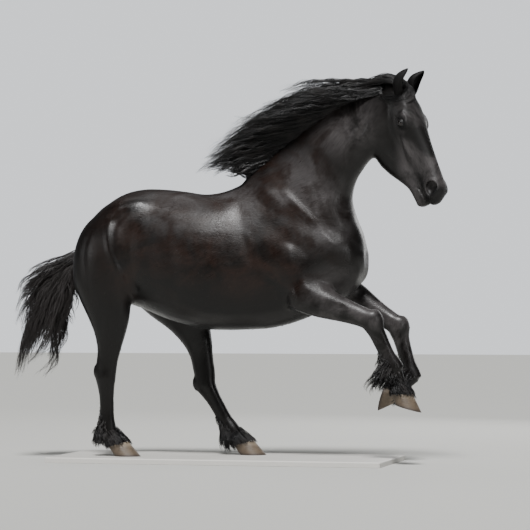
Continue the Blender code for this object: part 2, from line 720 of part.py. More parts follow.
def add_relief(made):
    """Works the muscles, grooves and bones into the skin along its normals."""
    count = len(made.data.vertices)
    points, normals = np.empty(count * 3), np.empty(count * 3)
    made.data.vertices.foreach_get("co", points)
    made.data.vertices.foreach_get("normal", normals)
    points, normals = points.reshape(-1, 3), normals.reshape(-1, 3)
    turn = np.array(head_matrix())
    on_head = (points - turn[:3, 3]) @ turn[:3, :3]
    head_normals = normals @ turn[:3, :3]
    lift = np.zeros(count)
    for spots, aims, relief in (
        (points, normals, BODY_RELIEF),
        (on_head, head_normals, HEAD_RELIEF),
    ):
        for side, path, radius, height in relief:
            for out in {"both": (-1, 1), "right": (-1,), "left": (1,)}[side]:
                facing = out * aims[:, 1]
                lift += press(spots, aims, 0, 2, facing, path, radius, height)
    for path, radius, height in BREAST_RELIEF:
        lift += press(points, normals, 1, 2, normals[:, 0] * (points[:, 0] > 0.4), path, radius,
                      height)
    for path, radius, height in BACK_RELIEF:
        lift += press(points, normals, 0, 1, normals[:, 2], path, radius, height)
    made.data.vertices.foreach_set("co", (points + normals * lift[:, None]).ravel())
    made.data.update()


def whole_skin(voxel, triangles):
    """Trunk, neck, head and legs fused into one closed skin."""
    bm = bmesh.new()
    add_trunk(bm)
    add_neck(bm)
    add_head(bm)
    for side in ("right", "left"):
        add_fore_leg(bm, FORE_JOINTS[side])
        add_hind_leg(bm, side)
    skin = mesh_object("whole_skin", bm)
    fuse = skin.modifiers.new("fuse", "REMESH")
    fuse.mode = "VOXEL"
    fuse.voxel_size = voxel
    applied(skin)
    count = len(skin.data.vertices)
    points = np.empty(count * 3)
    skin.data.vertices.foreach_get("co", points)
    group = skin.vertex_groups.new(name="soft")
    soft = softness(points.reshape(-1, 3))
    levels = np.round(soft * 20).astype(int)
    for level in np.unique(levels):
        chosen = np.nonzero(levels == level)[0].tolist()
        group.add(chosen, float(level) / 20, "REPLACE")
    smooth = skin.modifiers.new("smooth", "SMOOTH")
    smooth.factor = 0.5
    smooth.iterations = max(2, round(2 * (BLEND_LENGTH / voxel) ** 2))
    smooth.vertex_group = "soft"
    applied(skin)
    skin.vertex_groups.clear()
    add_relief(skin)
    if triangles:
        group = skin.vertex_groups.new(name="plain")
        for vert in skin.data.vertices:
            fine = vert.co.z > 1.35 and vert.co.x > 0.80
            group.add([vert.index], HEAD_THINNING if fine else 1.0, "REPLACE")
        thin = skin.modifiers.new("thin", "DECIMATE")
        thin.ratio = triangles / (2.0 * count)
        thin.vertex_group = "plain"
        applied(skin)
        skin.vertex_groups.clear()
    return skin


def hoof_frame(joints):
    """Where a hoof's sole points its toe, its side and its up."""
    toe = Vector(joints["toe"]).normalized()
    side = Vector((0, 1, 0))
    side = (side - toe * side.dot(toe)).normalized()
    return toe, side, toe.cross(side)


def hoof_rim(joints, share, trim=0.0):
    """One ring of the hoof wall: share 0 is the coronet and 1 the sole."""
    toe, side, up = hoof_frame(joints)
    length = HOOF_CORONET[0] + (HOOF_GROUND[0] - HOOF_CORONET[0]) * share - 2 * trim
    width = HOOF_CORONET[1] + (HOOF_GROUND[1] - HOOF_CORONET[1]) * share - 2 * trim
    points = []
    for k in range(HOOF_POINTS):
        angle = math.tau * k / HOOF_POINTS
        c, s = math.cos(angle), math.sin(angle)
        reach = c * (1.0 + 0.16 * max(c, 0.0) ** 2)
        ahead = length / 2 * reach
        across = width / 2 * s * (1.0 - (0.12 * c * c if c < 0 else 0.0))
        if c < 0:
            ahead += 0.020 * share * math.exp(-((s / 0.26) ** 2))
        height = HOOF_HEEL_HEIGHT + (HOOF_TOE_HEIGHT - HOOF_HEEL_HEIGHT) * (reach + 1) / 2.16
        rise = (1 - share) * height - HOOF_MIDDLE_HEIGHT
        points.append(
            Vector(joints["coronet"]) + toe * (ahead + HOOF_SLOPE * share) + side * across
            + up * rise
        )
    return points


def hoof(name, joints):
    """A hoof below its coronet plane, down to its flat sole."""
    bm = bmesh.new()
    rings = [hoof_rim(joints, share) for share in (0.0, 0.3, 0.6, 0.94)]
    add_loft(bm, [*rings, hoof_rim(joints, 1.0, HOOF_EDGE)])
    return mesh_object(name, bm)


def coronet_box(name, joints):
    """The room below the coronet's plane, which the pastern is kept out of."""
    rim = hoof_rim(joints, 0.0)
    front, back = rim[0], rim[HOOF_POINTS // 2]
    toe, side, up = hoof_frame(joints)
    ahead = (front - back).normalized()
    down = side.cross(ahead)
    return cell(name, (front + back) / 2 - down * GAP, down, HOOF_ROOM, side)


def surface_of(made):
    """A search tree over an object's faces."""
    bm = bmesh.new()
    bm.from_mesh(made.data)
    tree = BVHTree.FromBMesh(bm)
    bm.free()
    return tree


def add_tube(bm, path, radius, sides=6, closed=False):
    """A round rod along a path, closed into a ring or capped."""
    rings = []
    count = len(path)
    for k, point in enumerate(path):
        before = path[(k - 1) % count] if closed or k else point
        after = path[(k + 1) % count] if closed or k < count - 1 else point
        along = (after - before).normalized()
        side = along.cross(Vector((0.13, 0.21, 0.97))).normalized()
        up = side.cross(along)
        rings.append(section(point, side, up, radius, radius, radius, count=sides))
    if not closed:
        add_loft(bm, rings)
        return
    rows = [[bm.verts.new(p) for p in ring] for ring in rings]
    for low, high in zip(rows, rows[1:] + rows[:1]):
        for i in range(sides):
            j = (i + 1) % sides
            bm.faces.new((low[i], low[j], high[j], high[i]))


def eye_axes(side):
    """The way an eye looks, down the face and up across it, in the head's frame."""
    look = mirrored(EYE_LOOK, side).normalized()
    ahead = Vector(EYE_LINE)
    ahead = (ahead - look * ahead.dot(look)).normalized()
    return look, ahead, ahead.cross(look) * (1 if side == "left" else -1)


def eyeball(name, side, radius):
    """A round eyeball, flat behind."""
    look, ahead, up = eye_axes(side)
    bm = bmesh.new()
    rings = []
    for degrees in EYE_RINGS:
        angle = math.radians(degrees)
        centre = mirrored(EYE_CENTRE, side) + look * (radius * math.cos(angle))
        wide = radius * math.sin(angle)
        rings.append(section(centre, ahead, up, wide, wide, wide, count=EYE_POINTS))
    add_loft(bm, rings)
    bmesh.ops.transform(bm, matrix=head_matrix(), verts=bm.verts)
    return mesh_object(name, bm)


def lid(side):
    """The rim of the lids, an almond lying on the eyeball."""
    look, ahead, up = eye_axes(side)
    path = []
    for k in range(LID_POINTS):
        angle = math.tau * k / LID_POINTS
        x = EYE_HALF_OPENING * math.cos(angle)
        z = EYE_LIFT * math.sin(angle) * (1 - 0.30 * math.cos(angle) ** 2)
        reach = EYE_RADIUS + 0.0012
        y = math.sqrt(max(reach**2 - x * x - z * z, 0.0))
        spot = mirrored(EYE_CENTRE, side) + ahead * x + up * z + look * y
        path.append(head_matrix() @ spot)
    bm = bmesh.new()
    add_tube(bm, path, LID_RADIUS, 5, closed=True)
    return mesh_object("lid", bm)


def nostril(side):
    turn = Matrix.Rotation(NOSTRIL_TILT, 4, "Y")
    bm = bmesh.new()
    add_ball(bm, mirrored(NOSTRIL, side), NOSTRIL_RADII, turn, 2)
    bmesh.ops.transform(bm, matrix=head_matrix(), verts=bm.verts)
    return mesh_object("nostril", bm)


def mouth(head):
    """A groove along the line where the lips meet, from corner to corner round the front."""
    tree = surface_of(head)
    place = head_matrix()
    spans = resample([(k, *p) for k, p in enumerate(MOUTH_LINE)], 7)
    path = []
    for side in (-1, 1):
        rows = spans if side < 0 else reversed(spans[:-1])
        for row in rows:
            x, z = row[1], row[2]
            wide = 0.075 * math.sqrt(max(0.0, 1 - ((x - 0.60) / 0.146) ** 2))
            found = tree.find_nearest(place @ Vector((x, side * wide, z)))[0]
            path.append(found)
    bm = bmesh.new()
    add_tube(bm, path, MOUTH_GROOVE, 5)
    return mesh_object("mouth", bm)


def ear(name, side):
    """A cup that opens forwards and outwards, narrowing to an inturned tip."""
    out = 1 if side == "left" else -1
    root, tip = mirrored(EAR_ROOT, side), mirrored(EAR_TIP, side)
    along = (tip - root).normalized()
    length = (tip - root).length
    ahead = Vector((0.55, 0.0, 0.84))
    ahead = (ahead - along * ahead.dot(along)).normalized()
    aside = along.cross(ahead) * (1 if along.cross(ahead).y * out > 0 else -1)
    face = ahead * math.cos(EAR_TURN[side]) + aside * math.sin(EAR_TURN[side])
    across = along.cross(face)
    rings = []
    for share, half, depth, opening in resample(EAR_SHAPE, EAR_RINGS):
        bend = face * (-0.014 * math.sin(math.pi * share))
        centre = root + along * (length * share) + bend
        wall = EAR_WALL * (1 - 0.65 * share)
        outer, inner = [], []
        for k in range(EAR_SIDE_POINTS):
            swing = math.radians(opening / 2) + k / (EAR_SIDE_POINTS - 1) * (
                math.tau - math.radians(opening)
            )
            c, s = math.cos(swing), math.sin(swing)
            outer.append(centre + face * (half * depth * c) + across * (half * s))
            inner.append(
                centre + face * ((half * depth - wall) * c) + across * ((half - wall) * s)
            )
        rings.append(outer + inner[::-1])
    bm = bmesh.new()
    add_loft(bm, rings)
    bmesh.ops.transform(bm, matrix=head_matrix(), verts=bm.verts)
    return mesh_object(name, bm)


def crest_point(place):
    """A point of the neck's crest, counted as the rows of NECK are."""
    rows = resample([(k, *row[:3]) for k, row in enumerate(NECK)], 81)
    return Vector(rows[min(80, max(0, round(place * 10)))][1:4])


def swept(start, leave, end, arrive, wave, phase, sideways, count=LOCK_POINTS):
    """Points from a root to a tip that leave and arrive in given ways, with a growing wave."""
    start, end = Vector(start), Vector(end)
    length = (end - start).length
    leave = Vector(leave).normalized() * length
    arrive = Vector(arrive).normalized() * length
    height, pitch = wave
    path = []
    for k in range(count):
        u = k / (count - 1)
        point = (
            start * (2 * u**3 - 3 * u**2 + 1)
            + leave * (u**3 - 2 * u**2 + u)
            + end * (3 * u**2 - 2 * u**3)
            + arrive * (u**3 - u**2)
        )
        swing = height * min(1.0, 1.6 * u) * math.sin(math.tau * u * length / pitch + phase)
        path.append(point + Vector(sideways) * swing)
    return path


def lying(path, tree, first=1, above=LYING):
    """Lifts the points of a path that would enter the skin until they lie on it."""
    out = list(path[:first])
    for point in path[first:]:
        spot, normal, face, far = tree.find_nearest(point)
        height = (point - spot).dot(normal)
        if height < above and far < 0.30:
            point = spot + normal * above
        out.append(point)
    return out


def lock(path, broad, width, thick, belly=0.65):
    """A flat lock along a path, as wide as it can lie in the broad way and fine at its tip."""
    rings = []
    last = len(path) - 1
    for k, point in enumerate(path):
        share = k / last
        along = (path[min(k + 1, last)] - path[max(k - 1, 0)]).normalized()
        out = along.cross(Vector(broad)).normalized()
        side = out.cross(along)
        size = (0.70 + belly * share) * (1.0 - share**2)
        w, t = max(width * size, 0.0016), max(thick * min(size, 1.0), 0.0010)
        rings.append([point + side * w, point + out * t, point - side * w, point - out * t])
    bm = bmesh.new()
    add_loft(bm, rings)
    return mesh_object("lock", bm)


def mane(tree):
    """Locks from the whole crest, blown back in three layers."""
    chance = random.Random(11)
    tips = resample(MANE_TIPS, 101)
    made = []
    for count, root_y, tip_y, lift, width, thick in MANE_LAYERS:
        for k in range(count):
            share = (k + chance.uniform(0.2, 0.8)) / count
            root = crest_point(MANE_ROOTS[0] + (MANE_ROOTS[1] - MANE_ROOTS[0]) * share)
            root += Vector((0, root_y, -SUNK - 0.4 * abs(root_y)))
            tip = tips[round(share * 100)]
            reach = chance.uniform(0.86, 1.04)
            end = Vector((root.x + (tip[1] - root.x) * reach, root.y + tip_y,
                          root.z + (tip[2] - root.z) * reach + chance.uniform(-0.02, 0.02)))
            end.y += chance.uniform(-0.02, 0.02)
            drop = -0.30 - 0.35 * share
            path = swept(root, (-0.9, tip_y, lift), end, (-0.9, 0.3 * tip_y, drop), MANE_WAVE,
                         chance.uniform(0, math.tau), (0.3, 0.1, 0.95))
            size = chance.uniform(0.85, 1.15) * (1.0 - 0.25 * share)
            made.append(lock(lying(path, tree), (0, 0, 1), width * size, thick * size))
    return made


def dock():
    """The fleshy root of the tail with the dense hair round it, half way to the tips."""
    rings = []
    rows = resample(DOCK, 10)
    for k, (share, x, y, z, radius) in enumerate(rows):
        after, before = rows[min(k + 1, 9)], rows[max(k - 1, 0)]
        along = Vector((after[1] - before[1], 0, after[3] - before[3])).normalized()
        side = Vector((0, 1, 0))
        rings.append(section((x, y, z), side, along.cross(side), radius, radius, radius, count=12))
    bm = bmesh.new()
    add_loft(bm, rings)
    return mesh_object("tail", bm)


def tail(tree):
    """Locks round the dock that fall back into a full plume."""
    chance = random.Random(23)
    spine, tips = resample(DOCK, 51), resample(TAIL_TIPS, 101)
    locks = []
    for k in range(TAIL_LOCKS):
        order = (k * 0.618) % 1.0
        share = (k + 0.5) / TAIL_LOCKS
        tip = tips[round(share * 100)]
        row = spine[round(50 * (0.22 + 0.62 * order))]
        lean = math.sin(math.tau * k * 0.382)
        root = Vector((row[1], lean * 0.45 * row[4], row[3]))
        end = Vector((tip[1] + chance.uniform(-0.02, 0.02), lean * TAIL_SPREAD,
                      tip[2] + chance.uniform(-0.02, 0.05)))
        leave = Vector((-0.9 + 0.45 * share, 0.6 * lean, -0.25 - 0.7 * share))
        arrive = Vector((-0.25 + 0.15 * share, 0.2 * lean, -1.0))
        if 0.62 < share < 0.76:
            arrive = Vector((-0.8, 0.0, -0.45))
        path = swept(root, leave, end, arrive, TAIL_WAVE, chance.uniform(0, math.tau),
                     (0.75, 0.25 * lean, 0.2))
        size = chance.uniform(0.85, 1.15)
        broad = (lean, math.sqrt(1.0 - lean * lean), 0.2 * lean)
        locks.append(lock(lying(path, tree, 1, 0.012), broad, TAIL_SIZE[0] * size,
                          TAIL_SIZE[1] * size))
    return boolean(dock(), "UNION", locks, "MANIFOLD")


def feather(joints, kind, side, tree):
    """Hair behind the fetlock and a short fringe over the coronet."""
    chance = random.Random(37)
    fetlock = Vector(joints["fetlock"])
    top = Vector(joints["hock" if kind == "hind" else "knee"])
    along = (fetlock - top).normalized()
    across = Vector((0, 1, 0))
    back = across.cross(along).normalized()
    reach, fall = FEATHER_REACH[kind]
    made = []
    (behind, below), radii = FEATHER_CORE
    turn = Matrix((back, across, along)).transposed().to_4x4()
    core = bmesh.new()
    add_ball(core, fetlock + back * behind + along * below, radii, turn, 1)
    made.append(mesh_object("core", core))
    for k in range(FEATHER_LOCKS):
        swing = math.radians(-80 + 160 * (k + 0.5) / FEATHER_LOCKS)
        out = back * math.cos(swing) + across * math.sin(swing)
        height = -0.060 + 0.045 * (k % 2) + chance.uniform(-0.008, 0.008)
        root = fetlock + along * height + out * 0.018
        size = 0.45 + 0.55 * math.cos(swing) ** 2
        end = fetlock + along * (height + fall) + out * (0.040 + reach * size)
        path = swept(root, out + along * 0.5, end, out * 0.3 + along, (0.003, 0.09),
                     chance.uniform(0, math.tau), along.cross(out), 4)
        made.append(lock(lying(path, tree, 1, 0.012), along.cross(out), *FEATHER_SIZE, 0.4))
    toe, aside, up = hoof_frame(joints)
    rim, low = hoof_rim(joints, 0.0), hoof_rim(joints, 0.4)
    centre = Vector(joints["coronet"])
    for k in range(FRINGE_LOCKS):
        place = round((k / (FRINGE_LOCKS - 1) - 0.5) * 0.64 * HOOF_POINTS) % HOOF_POINTS
        wall = (low[place] - rim[place]).normalized()
        out = (rim[place] - centre - up * up.dot(rim[place] - centre)).normalized()
        start = rim[place] - out * 0.012 - wall * 0.016
        middle = rim[place] + out * 0.005
        end = rim[place] + wall * FRINGE_LENGTH + out * 0.007
        made.append(lock([start, middle, end], wall.cross(out), *FRINGE_SIZE))
    return made


def forelock(tree):
    """Locks swept from the poll, under the near ear and back."""
    chance = random.Random(5)
    place = head_matrix()
    made = []
    for k in range(FORELOCK_LOCKS):
        slide = (k / (FORELOCK_LOCKS - 1) - 0.5) * 0.044
        rows = resample([(j, *p) for j, p in enumerate(FORELOCK[: 5 + k % 3])], LOCK_POINTS)
        path = []
        for j, row in enumerate(rows):
            point = Vector(row[1:4]) + Vector((slide, 0.2 * slide, 0.3 * slide))
            point += Vector([chance.uniform(-0.004, 0.004) for _ in range(3)])
            spot, normal = tree.find_nearest(place @ point)[:2]
            path.append(spot + normal * (-0.012 if j == 0 else 0.008 + 0.004 * (k % 2)))
        broad = place.to_3x3() @ Vector((0.8, 0.0, 0.6))
        made.append(lock(path, broad, *FORELOCK_SIZE, 0.2))
    return made


def base():
    """A flat board with a small bevel round its top."""
    length, width, height = BASE_SIZE
    bm = bmesh.new()
    rings = []
    for z, inset in ((0.0, 0.0), (height - BASE_EDGE, 0.0), (height, BASE_EDGE)):
        x, y = length / 2 - inset, width / 2 - inset
        rings.append([Vector((a * x, b * y, z)) for a, b in ((1, -1), (1, 1), (-1, 1), (-1, -1))])
    add_loft(bm, rings)
    return mesh_object("stand_base", bm)


def legs(rest, pieces, tree):
    """Parts both halves of every leg off the trunk and sets the hooves below them."""
    for side in ("right", "left"):
        joints = FORE_JOINTS[side]
        elbow, knee, fetlock = (Vector(joints[k]) for k in ("elbow", "knee", "fetlock"))
        down = (fetlock - knee).normalized()
        low = part_off(rest, f"foreleg_{side}_lower", knee + down * CANNON_START, down, SHANK_REACH)
        across = FOREARM_REACH[2]
        if side == "left":
            across = (-across[1], -across[0])
        ahead = (knee - elbow).normalized()
        high = part_off(rest, f"foreleg_{side}_upper", elbow + ahead * FOREARM_START, ahead,
                        (*FOREARM_REACH[:2], across))
        pieces += [low, high]
        foot(pieces, low, "fore", side, joints, tree)
    for side in ("right", "left"):
        joints = HIND_JOINTS[side]
        hock = Vector(joints["hock"])
        low = part_off(rest, f"hindleg_{side}_lower", hock + Vector((0, 0, HOCK_ABOVE)),
                       (0, 0, -1), SHANK_REACH)
        point, along, *reach = THIGH_CUTS[side]
        high = part_off(rest, f"hindleg_{side}_upper", point, along, reach)
        pieces += [low, high]
        foot(pieces, low, "hind", side, joints, tree)


def foot(pieces, leg, kind, side, joints, tree):
    """Cuts a leg off at its coronet, sets the hoof there and grows the fetlock hair."""
    boolean(leg, "DIFFERENCE", [coronet_box("room", joints)])
    keep_largest(leg)
    boolean(leg, "UNION", feather(joints, kind, side, tree))
    below = hoof(f"hoof_{kind}_{side}", joints)
    seat(leg, below)
    if kind == "hind":
        floor = cell("floor", (joints["coronet"][0], joints["coronet"][1], CLEAR_FLOOR),
                     (0, 0, -1), ((0.0, 0.5), (-0.5, 0.5), (-0.2, 0.2)))
        keep_largest(boolean(leg, "DIFFERENCE", [floor]))
    pieces.append(below)


def face(head, pieces, strands):
    """Lids, eyes, nostrils, the mouth, the forelock and the ears."""
    bare = copy_of(head, "bare_head")
    boolean(head, "UNION", [lid("right"), lid("left")])
    for side in ("right", "left"):
        boolean(head, "DIFFERENCE", [eyeball("socket", side, EYE_RADIUS + GAP)])
        boolean(head, "DIFFERENCE", [nostril(side)])
    boolean(head, "DIFFERENCE", [mouth(head)])
    for side in ("right", "left"):
        pieces.append(eyeball(f"eye_{side}", side, EYE_RADIUS))
        cup = seat(ear(f"ear_{side}", side), bare)
        pieces.append(cup)
        for strand in strands:
            seat(strand, cup)
    keep_largest(boolean(head, "UNION", [copy_of(strand, "strand") for strand in strands]))
    return bare


def material(name, colour, roughness):
    made = bpy.data.materials.new(name)
    made.use_nodes = True
    shader = made.node_tree.nodes["Principled BSDF"]
    shader.inputs["Base Color"].default_value = (*colour, 1.0)
    shader.inputs["Roughness"].default_value = roughness
    return made


def main():
    for old in list(bpy.data.objects):
        bpy.data.objects.remove(old)
    rest = whole_skin(VOXEL, BODY_TRIANGLES)
    tree = surface_of(rest)
    pieces = []
    legs(rest, pieces, tree)
    head = part_off(rest, "head", HEAD_CUT[0], HEAD_CUT[1], HEAD_CUT[2:])
    neck = part_off(rest, "neck", NECK_CUT[0], NECK_CUT[1], NECK_CUT[2:])
    rest.name = "torso"
    strands = forelock(tree)
    bare = face(head, pieces, strands)
    boolean(neck, "UNION", mane(tree), "MANIFOLD")
    for other in [bare, rest, *strands, *(p for p in pieces if p.name.startswith("ear"))]:
        seat(neck, other)
    for scrap in [bare, *strands]:
        bpy.data.objects.remove(scrap)
    plume = tail(tree)
    for other in [rest, *(p for p in pieces if p.name.startswith("hindleg"))]:
        seat(plume, other)
    pieces += [rest, head, neck, plume]
    for piece in pieces:
        piece.location = (-BASE_MIDDLE_X, 0, GROUND)
    pieces.append(base())
    looks = {
        "eye": material("dark_eye", (0.010, 0.006, 0.004), 0.08),
        "hoof": material("horn", (0.150, 0.110, 0.080), 0.45),
        "stand": material("painted_board", (0.550, 0.540, 0.520), 0.50),
        "coat": material("black_coat", (0.012, 0.010, 0.010), 0.42),
    }
    for piece in pieces:
        look = looks.get(piece.name.split("_")[0], looks["coat"])
        piece.data.materials.clear()
        piece.data.materials.append(look)


main()
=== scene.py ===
"""Looks of a life-size Friesian horse in canter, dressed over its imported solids.

Metres, in the solids' frame: +X is the way the horse faces, +Y its left side, +Z up. Shapes are
worked in the horse's own frame, which has the ground at z 0, and are set in place at the end.
"""

import math

import bmesh
import bpy
import numpy as np
from mathutils import Euler, Matrix, Vector
from mathutils.bvhtree import BVHTree


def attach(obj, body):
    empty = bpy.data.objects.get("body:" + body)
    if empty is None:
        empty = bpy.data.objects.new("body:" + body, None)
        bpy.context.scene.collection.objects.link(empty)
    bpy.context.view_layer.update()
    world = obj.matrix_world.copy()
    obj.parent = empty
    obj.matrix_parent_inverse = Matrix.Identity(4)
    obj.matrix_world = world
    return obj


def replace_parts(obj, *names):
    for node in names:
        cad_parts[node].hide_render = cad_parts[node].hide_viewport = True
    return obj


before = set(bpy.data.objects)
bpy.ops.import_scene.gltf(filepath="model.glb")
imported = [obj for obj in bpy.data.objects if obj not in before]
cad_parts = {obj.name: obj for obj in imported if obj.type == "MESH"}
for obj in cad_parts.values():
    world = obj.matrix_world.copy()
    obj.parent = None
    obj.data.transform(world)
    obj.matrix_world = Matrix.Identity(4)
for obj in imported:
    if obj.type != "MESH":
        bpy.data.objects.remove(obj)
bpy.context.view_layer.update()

# The display base's thickness with the gap above it, and how far the horse stands ahead of its middle
GROUND = 0.0303
AHEAD = 0.08
SET = Matrix.Translation((AHEAD, 0, GROUND))

# Camera: where it stands, what it looks at, and its lens for a 36 mm wide sensor
CAMERA = (3.598, -13.531, 0.880)
AIM = (0.211, 0.053, 1.103)
LENS = 169.1

# Skin: grid size, blending, and how deep it lies under the coat
VOXEL = 0.0088
BLEND_LENGTH = 0.030
COAT_DEPTH = 0.0015
RING_POINTS = 40
LOFT_RINGS = 60

# Trunk from the buttocks to the breast:
# x, top, height of the widest place, bottom, half width, roundness above and below
TRUNK = (
    (-0.900, 1.235, 1.100, 0.985, 0.100, 2.0, 2.0),
    (-0.850, 1.325, 1.110, 0.930, 0.185, 2.1, 2.1),
    (-0.770, 1.415, 1.130, 0.890, 0.235, 2.2, 2.1),
    (-0.670, 1.477, 1.150, 0.860, 0.265, 2.3, 2.1),
    (-0.560, 1.505, 1.140, 0.825, 0.275, 2.3, 2.1),
    (-0.440, 1.505, 1.100, 0.775, 0.285, 2.2, 2.1),
    (-0.310, 1.491, 1.080, 0.735, 0.302, 2.1, 2.2),
    (-0.190, 1.474, 1.060, 0.710, 0.312, 2.1, 2.2),
    (-0.070, 1.492, 1.050, 0.705, 0.302, 2.0, 2.2),
    (0.050, 1.540, 1.060, 0.708, 0.280, 1.8, 2.2),
    (0.160, 1.560, 1.070, 0.714, 0.258, 1.8, 2.2),
    (0.280, 1.545, 1.080, 0.738, 0.242, 1.9, 2.1),
    (0.400, 1.500, 1.090, 0.780, 0.232, 2.0, 2.0),
    (0.520, 1.420, 1.100, 0.835, 0.215, 2.0, 2.0),
    (0.620, 1.330, 1.110, 0.895, 0.185, 2.0, 2.0),
    (0.690, 1.235, 1.110, 0.965, 0.135, 2.0, 2.0),
    (0.725, 1.165, 1.110, 1.040, 0.070, 2.0, 2.0),
)

# Neck from the withers to the poll: crest x, y, z, throat x, y, z, half width,
# share of the way down to the widest place, roundness on the crest's side
NECK = (
    (-0.010, 0.000, 1.500, 0.715, 0.000, 1.060, 0.205, 0.52, 1.9),
    (0.060, 0.000, 1.590, 0.728, 0.000, 1.150, 0.195, 0.54, 1.8),
    (0.135, 0.000, 1.660, 0.712, 0.000, 1.235, 0.178, 0.56, 1.7),
    (0.262, -0.003, 1.765, 0.672, -0.004, 1.330, 0.150, 0.57, 1.7),
    (0.395, -0.012, 1.868, 0.650, -0.015, 1.425, 0.130, 0.58, 1.7),
    (0.535, -0.028, 1.958, 0.670, -0.032, 1.520, 0.117, 0.58, 1.7),
    (0.672, -0.050, 2.022, 0.724, -0.052, 1.604, 0.106, 0.56, 1.8),
    (0.795, -0.075, 2.060, 0.780, -0.074, 1.664, 0.096, 0.54, 1.9),
    (0.900, -0.100, 2.060, 0.850, -0.094, 1.740, 0.080, 0.50, 2.0),
)

# The head has its own frame: x down the face from the poll, y to its left, z out of the face
POLL = Vector((0.921, -0.100, 2.076))
HEAD_LEAN = math.radians(23.0)
HEAD_TURN = math.radians(22.0)

# Upper head: x, top, height of the widest place, bottom, half width, roundness above and below
SKULL = (
    (-0.030, -0.010, -0.050, -0.100, 0.045, 2.0, 2.0),
    (0.010, 0.028, -0.040, -0.120, 0.064, 2.0, 2.0),
    (0.060, 0.047, -0.035, -0.145, 0.077, 2.1, 2.0),
    (0.120, 0.058, -0.030, -0.160, 0.086, 2.3, 2.0),
    (0.185, 0.064, -0.022, -0.170, 0.093, 2.4, 2.0),
    (0.245, 0.064, -0.020, -0.165, 0.091, 2.4, 2.0),
    (0.310, 0.061, -0.020, -0.150, 0.078, 2.3, 2.0),
    (0.390, 0.058, -0.014, -0.135, 0.064, 2.2, 2.1),
    (0.470, 0.057, -0.010, -0.115, 0.055, 2.2, 2.1),
    (0.550, 0.056, -0.004, -0.092, 0.051, 2.2, 2.2),
    (0.610, 0.053, 0.000, -0.080, 0.055, 2.3, 2.3),
    (0.660, 0.049, -0.006, -0.074, 0.055, 2.3, 2.3),
    (0.702, 0.020, -0.020, -0.070, 0.044, 2.2, 2.2),
    (0.728, -0.015, -0.036, -0.064, 0.024, 2.0, 2.0),
)

# Lower jaw from the cheeks to the lip, in the same terms
JAW = (
    (0.050, -0.090, -0.150, -0.215, 0.045, 2.0, 2.0),
    (0.100, -0.080, -0.175, -0.262, 0.060, 2.1, 2.1),
    (0.165, -0.080, -0.190, -0.290, 0.068, 2.2, 2.2),
    (0.235, -0.080, -0.190, -0.299, 0.070, 2.2, 2.2),
    (0.305, -0.075, -0.178, -0.296, 0.066, 2.2, 2.2),
    (0.370, -0.070, -0.166, -0.288, 0.057, 2.1, 2.1),
    (0.450, -0.070, -0.150, -0.250, 0.047, 2.0, 2.0),
    (0.520, -0.070, -0.128, -0.202, 0.041, 2.0, 2.0),
    (0.575, -0.070, -0.114, -0.168, 0.040, 2.0, 2.0),
    (0.630, -0.072, -0.110, -0.154, 0.042, 2.1, 2.1),
    (0.676, -0.074, -0.106, -0.145, 0.039, 2.1, 2.1),
    (0.708, -0.076, -0.098, -0.124, 0.026, 2.0, 2.0),
)

# Rounded masses of the head: centre, then half sizes along x, y and z; the right one of each pair
HEAD_MASSES = (
    ((0.215, -0.052, -0.185), (0.115, 0.031, 0.102)),
    ((0.246, -0.080, -0.002), (0.054, 0.027, 0.036)),
    ((0.175, -0.063, 0.018), (0.050, 0.027, 0.030)),
    ((0.350, -0.058, -0.055), (0.105, 0.016, 0.014)),
    ((0.648, -0.042, 0.004), (0.044, 0.022, 0.038)),
    ((0.676, -0.012, -0.122), (0.030, 0.026, 0.026)),
    ((0.066, -0.052, 0.014), (0.036, 0.030, 0.030)),
)

EYE_CENTRE = (0.250, -0.0850, -0.016)
EYE_LOOK = (0.12, -0.96, -0.20)
EYE_LINE = (0.87, 0.0, 0.50)
EYE_RADIUS = 0.0250
EYE_RINGS = (7, 22, 40, 60, 82, 105)
EYE_POINTS = 14
LID_RADIUS = 0.0062
LID_POINTS = 14
EYE_HALF_OPENING = 0.0235
EYE_LIFT = 0.0115

NOSTRIL = (0.646, -0.068, -0.004)
NOSTRIL_RADII = (0.039, 0.026, 0.042)
NOSTRIL_TILT = math.radians(35)

# The line where the lips meet, from the corner to the front: x, z
MOUTH_LINE = ((0.612, -0.086), (0.660, -0.080), (0.700, -0.074), (0.745, -0.062))
MOUTH_GROOVE = 0.0032

# Ears: root, tip, broadest half width, wall and the turn of the open side, in the head's frame
EAR_ROOT = (0.070, -0.062, 0.018)
EAR_TIP = (-0.008, -0.082, 0.132)
EAR_WALL = 0.006
EAR_RINGS = 18
EAR_SIDE_POINTS = 11
# share of the length, half width, depth as a share of it, degrees left open
EAR_SHAPE = (
    (-0.40, 0.0290, 1.00, 4),
    (-0.12, 0.0266, 1.00, 6),
    (0.00, 0.0333, 0.98, 12),
    (0.18, 0.0412, 0.90, 80),
    (0.40, 0.0466, 0.80, 125),
    (0.62, 0.0412, 0.75, 130),
    (0.82, 0.0253, 0.75, 110),
    (0.94, 0.0120, 0.80, 70),
    (1.00, 0.0040, 0.90, 20),
)
EAR_TURN = {"right": math.radians(-30), "left": math.radians(5)}

# Fore legs. A joint is (x, y, z) with the ground at z 0
FORE_JOINTS = {
    "right": {
        "elbow": (0.395, -0.185, 0.905),
        "knee": (0.788, -0.165, 0.765),
        "fetlock": (0.916, -0.150, 0.500),
        "coronet": (0.948, -0.145, 0.360),
        "toe": (0.961, 0.00, -0.275),
    },
    "left": {
        "elbow": (0.515, 0.185, 0.955),
        "knee": (0.872, 0.165, 0.732),
        "fetlock": (0.957, 0.150, 0.446),
        "coronet": (0.862, 0.146, 0.366),
        "toe": (-0.30, 0.00, -0.954),
    },
}

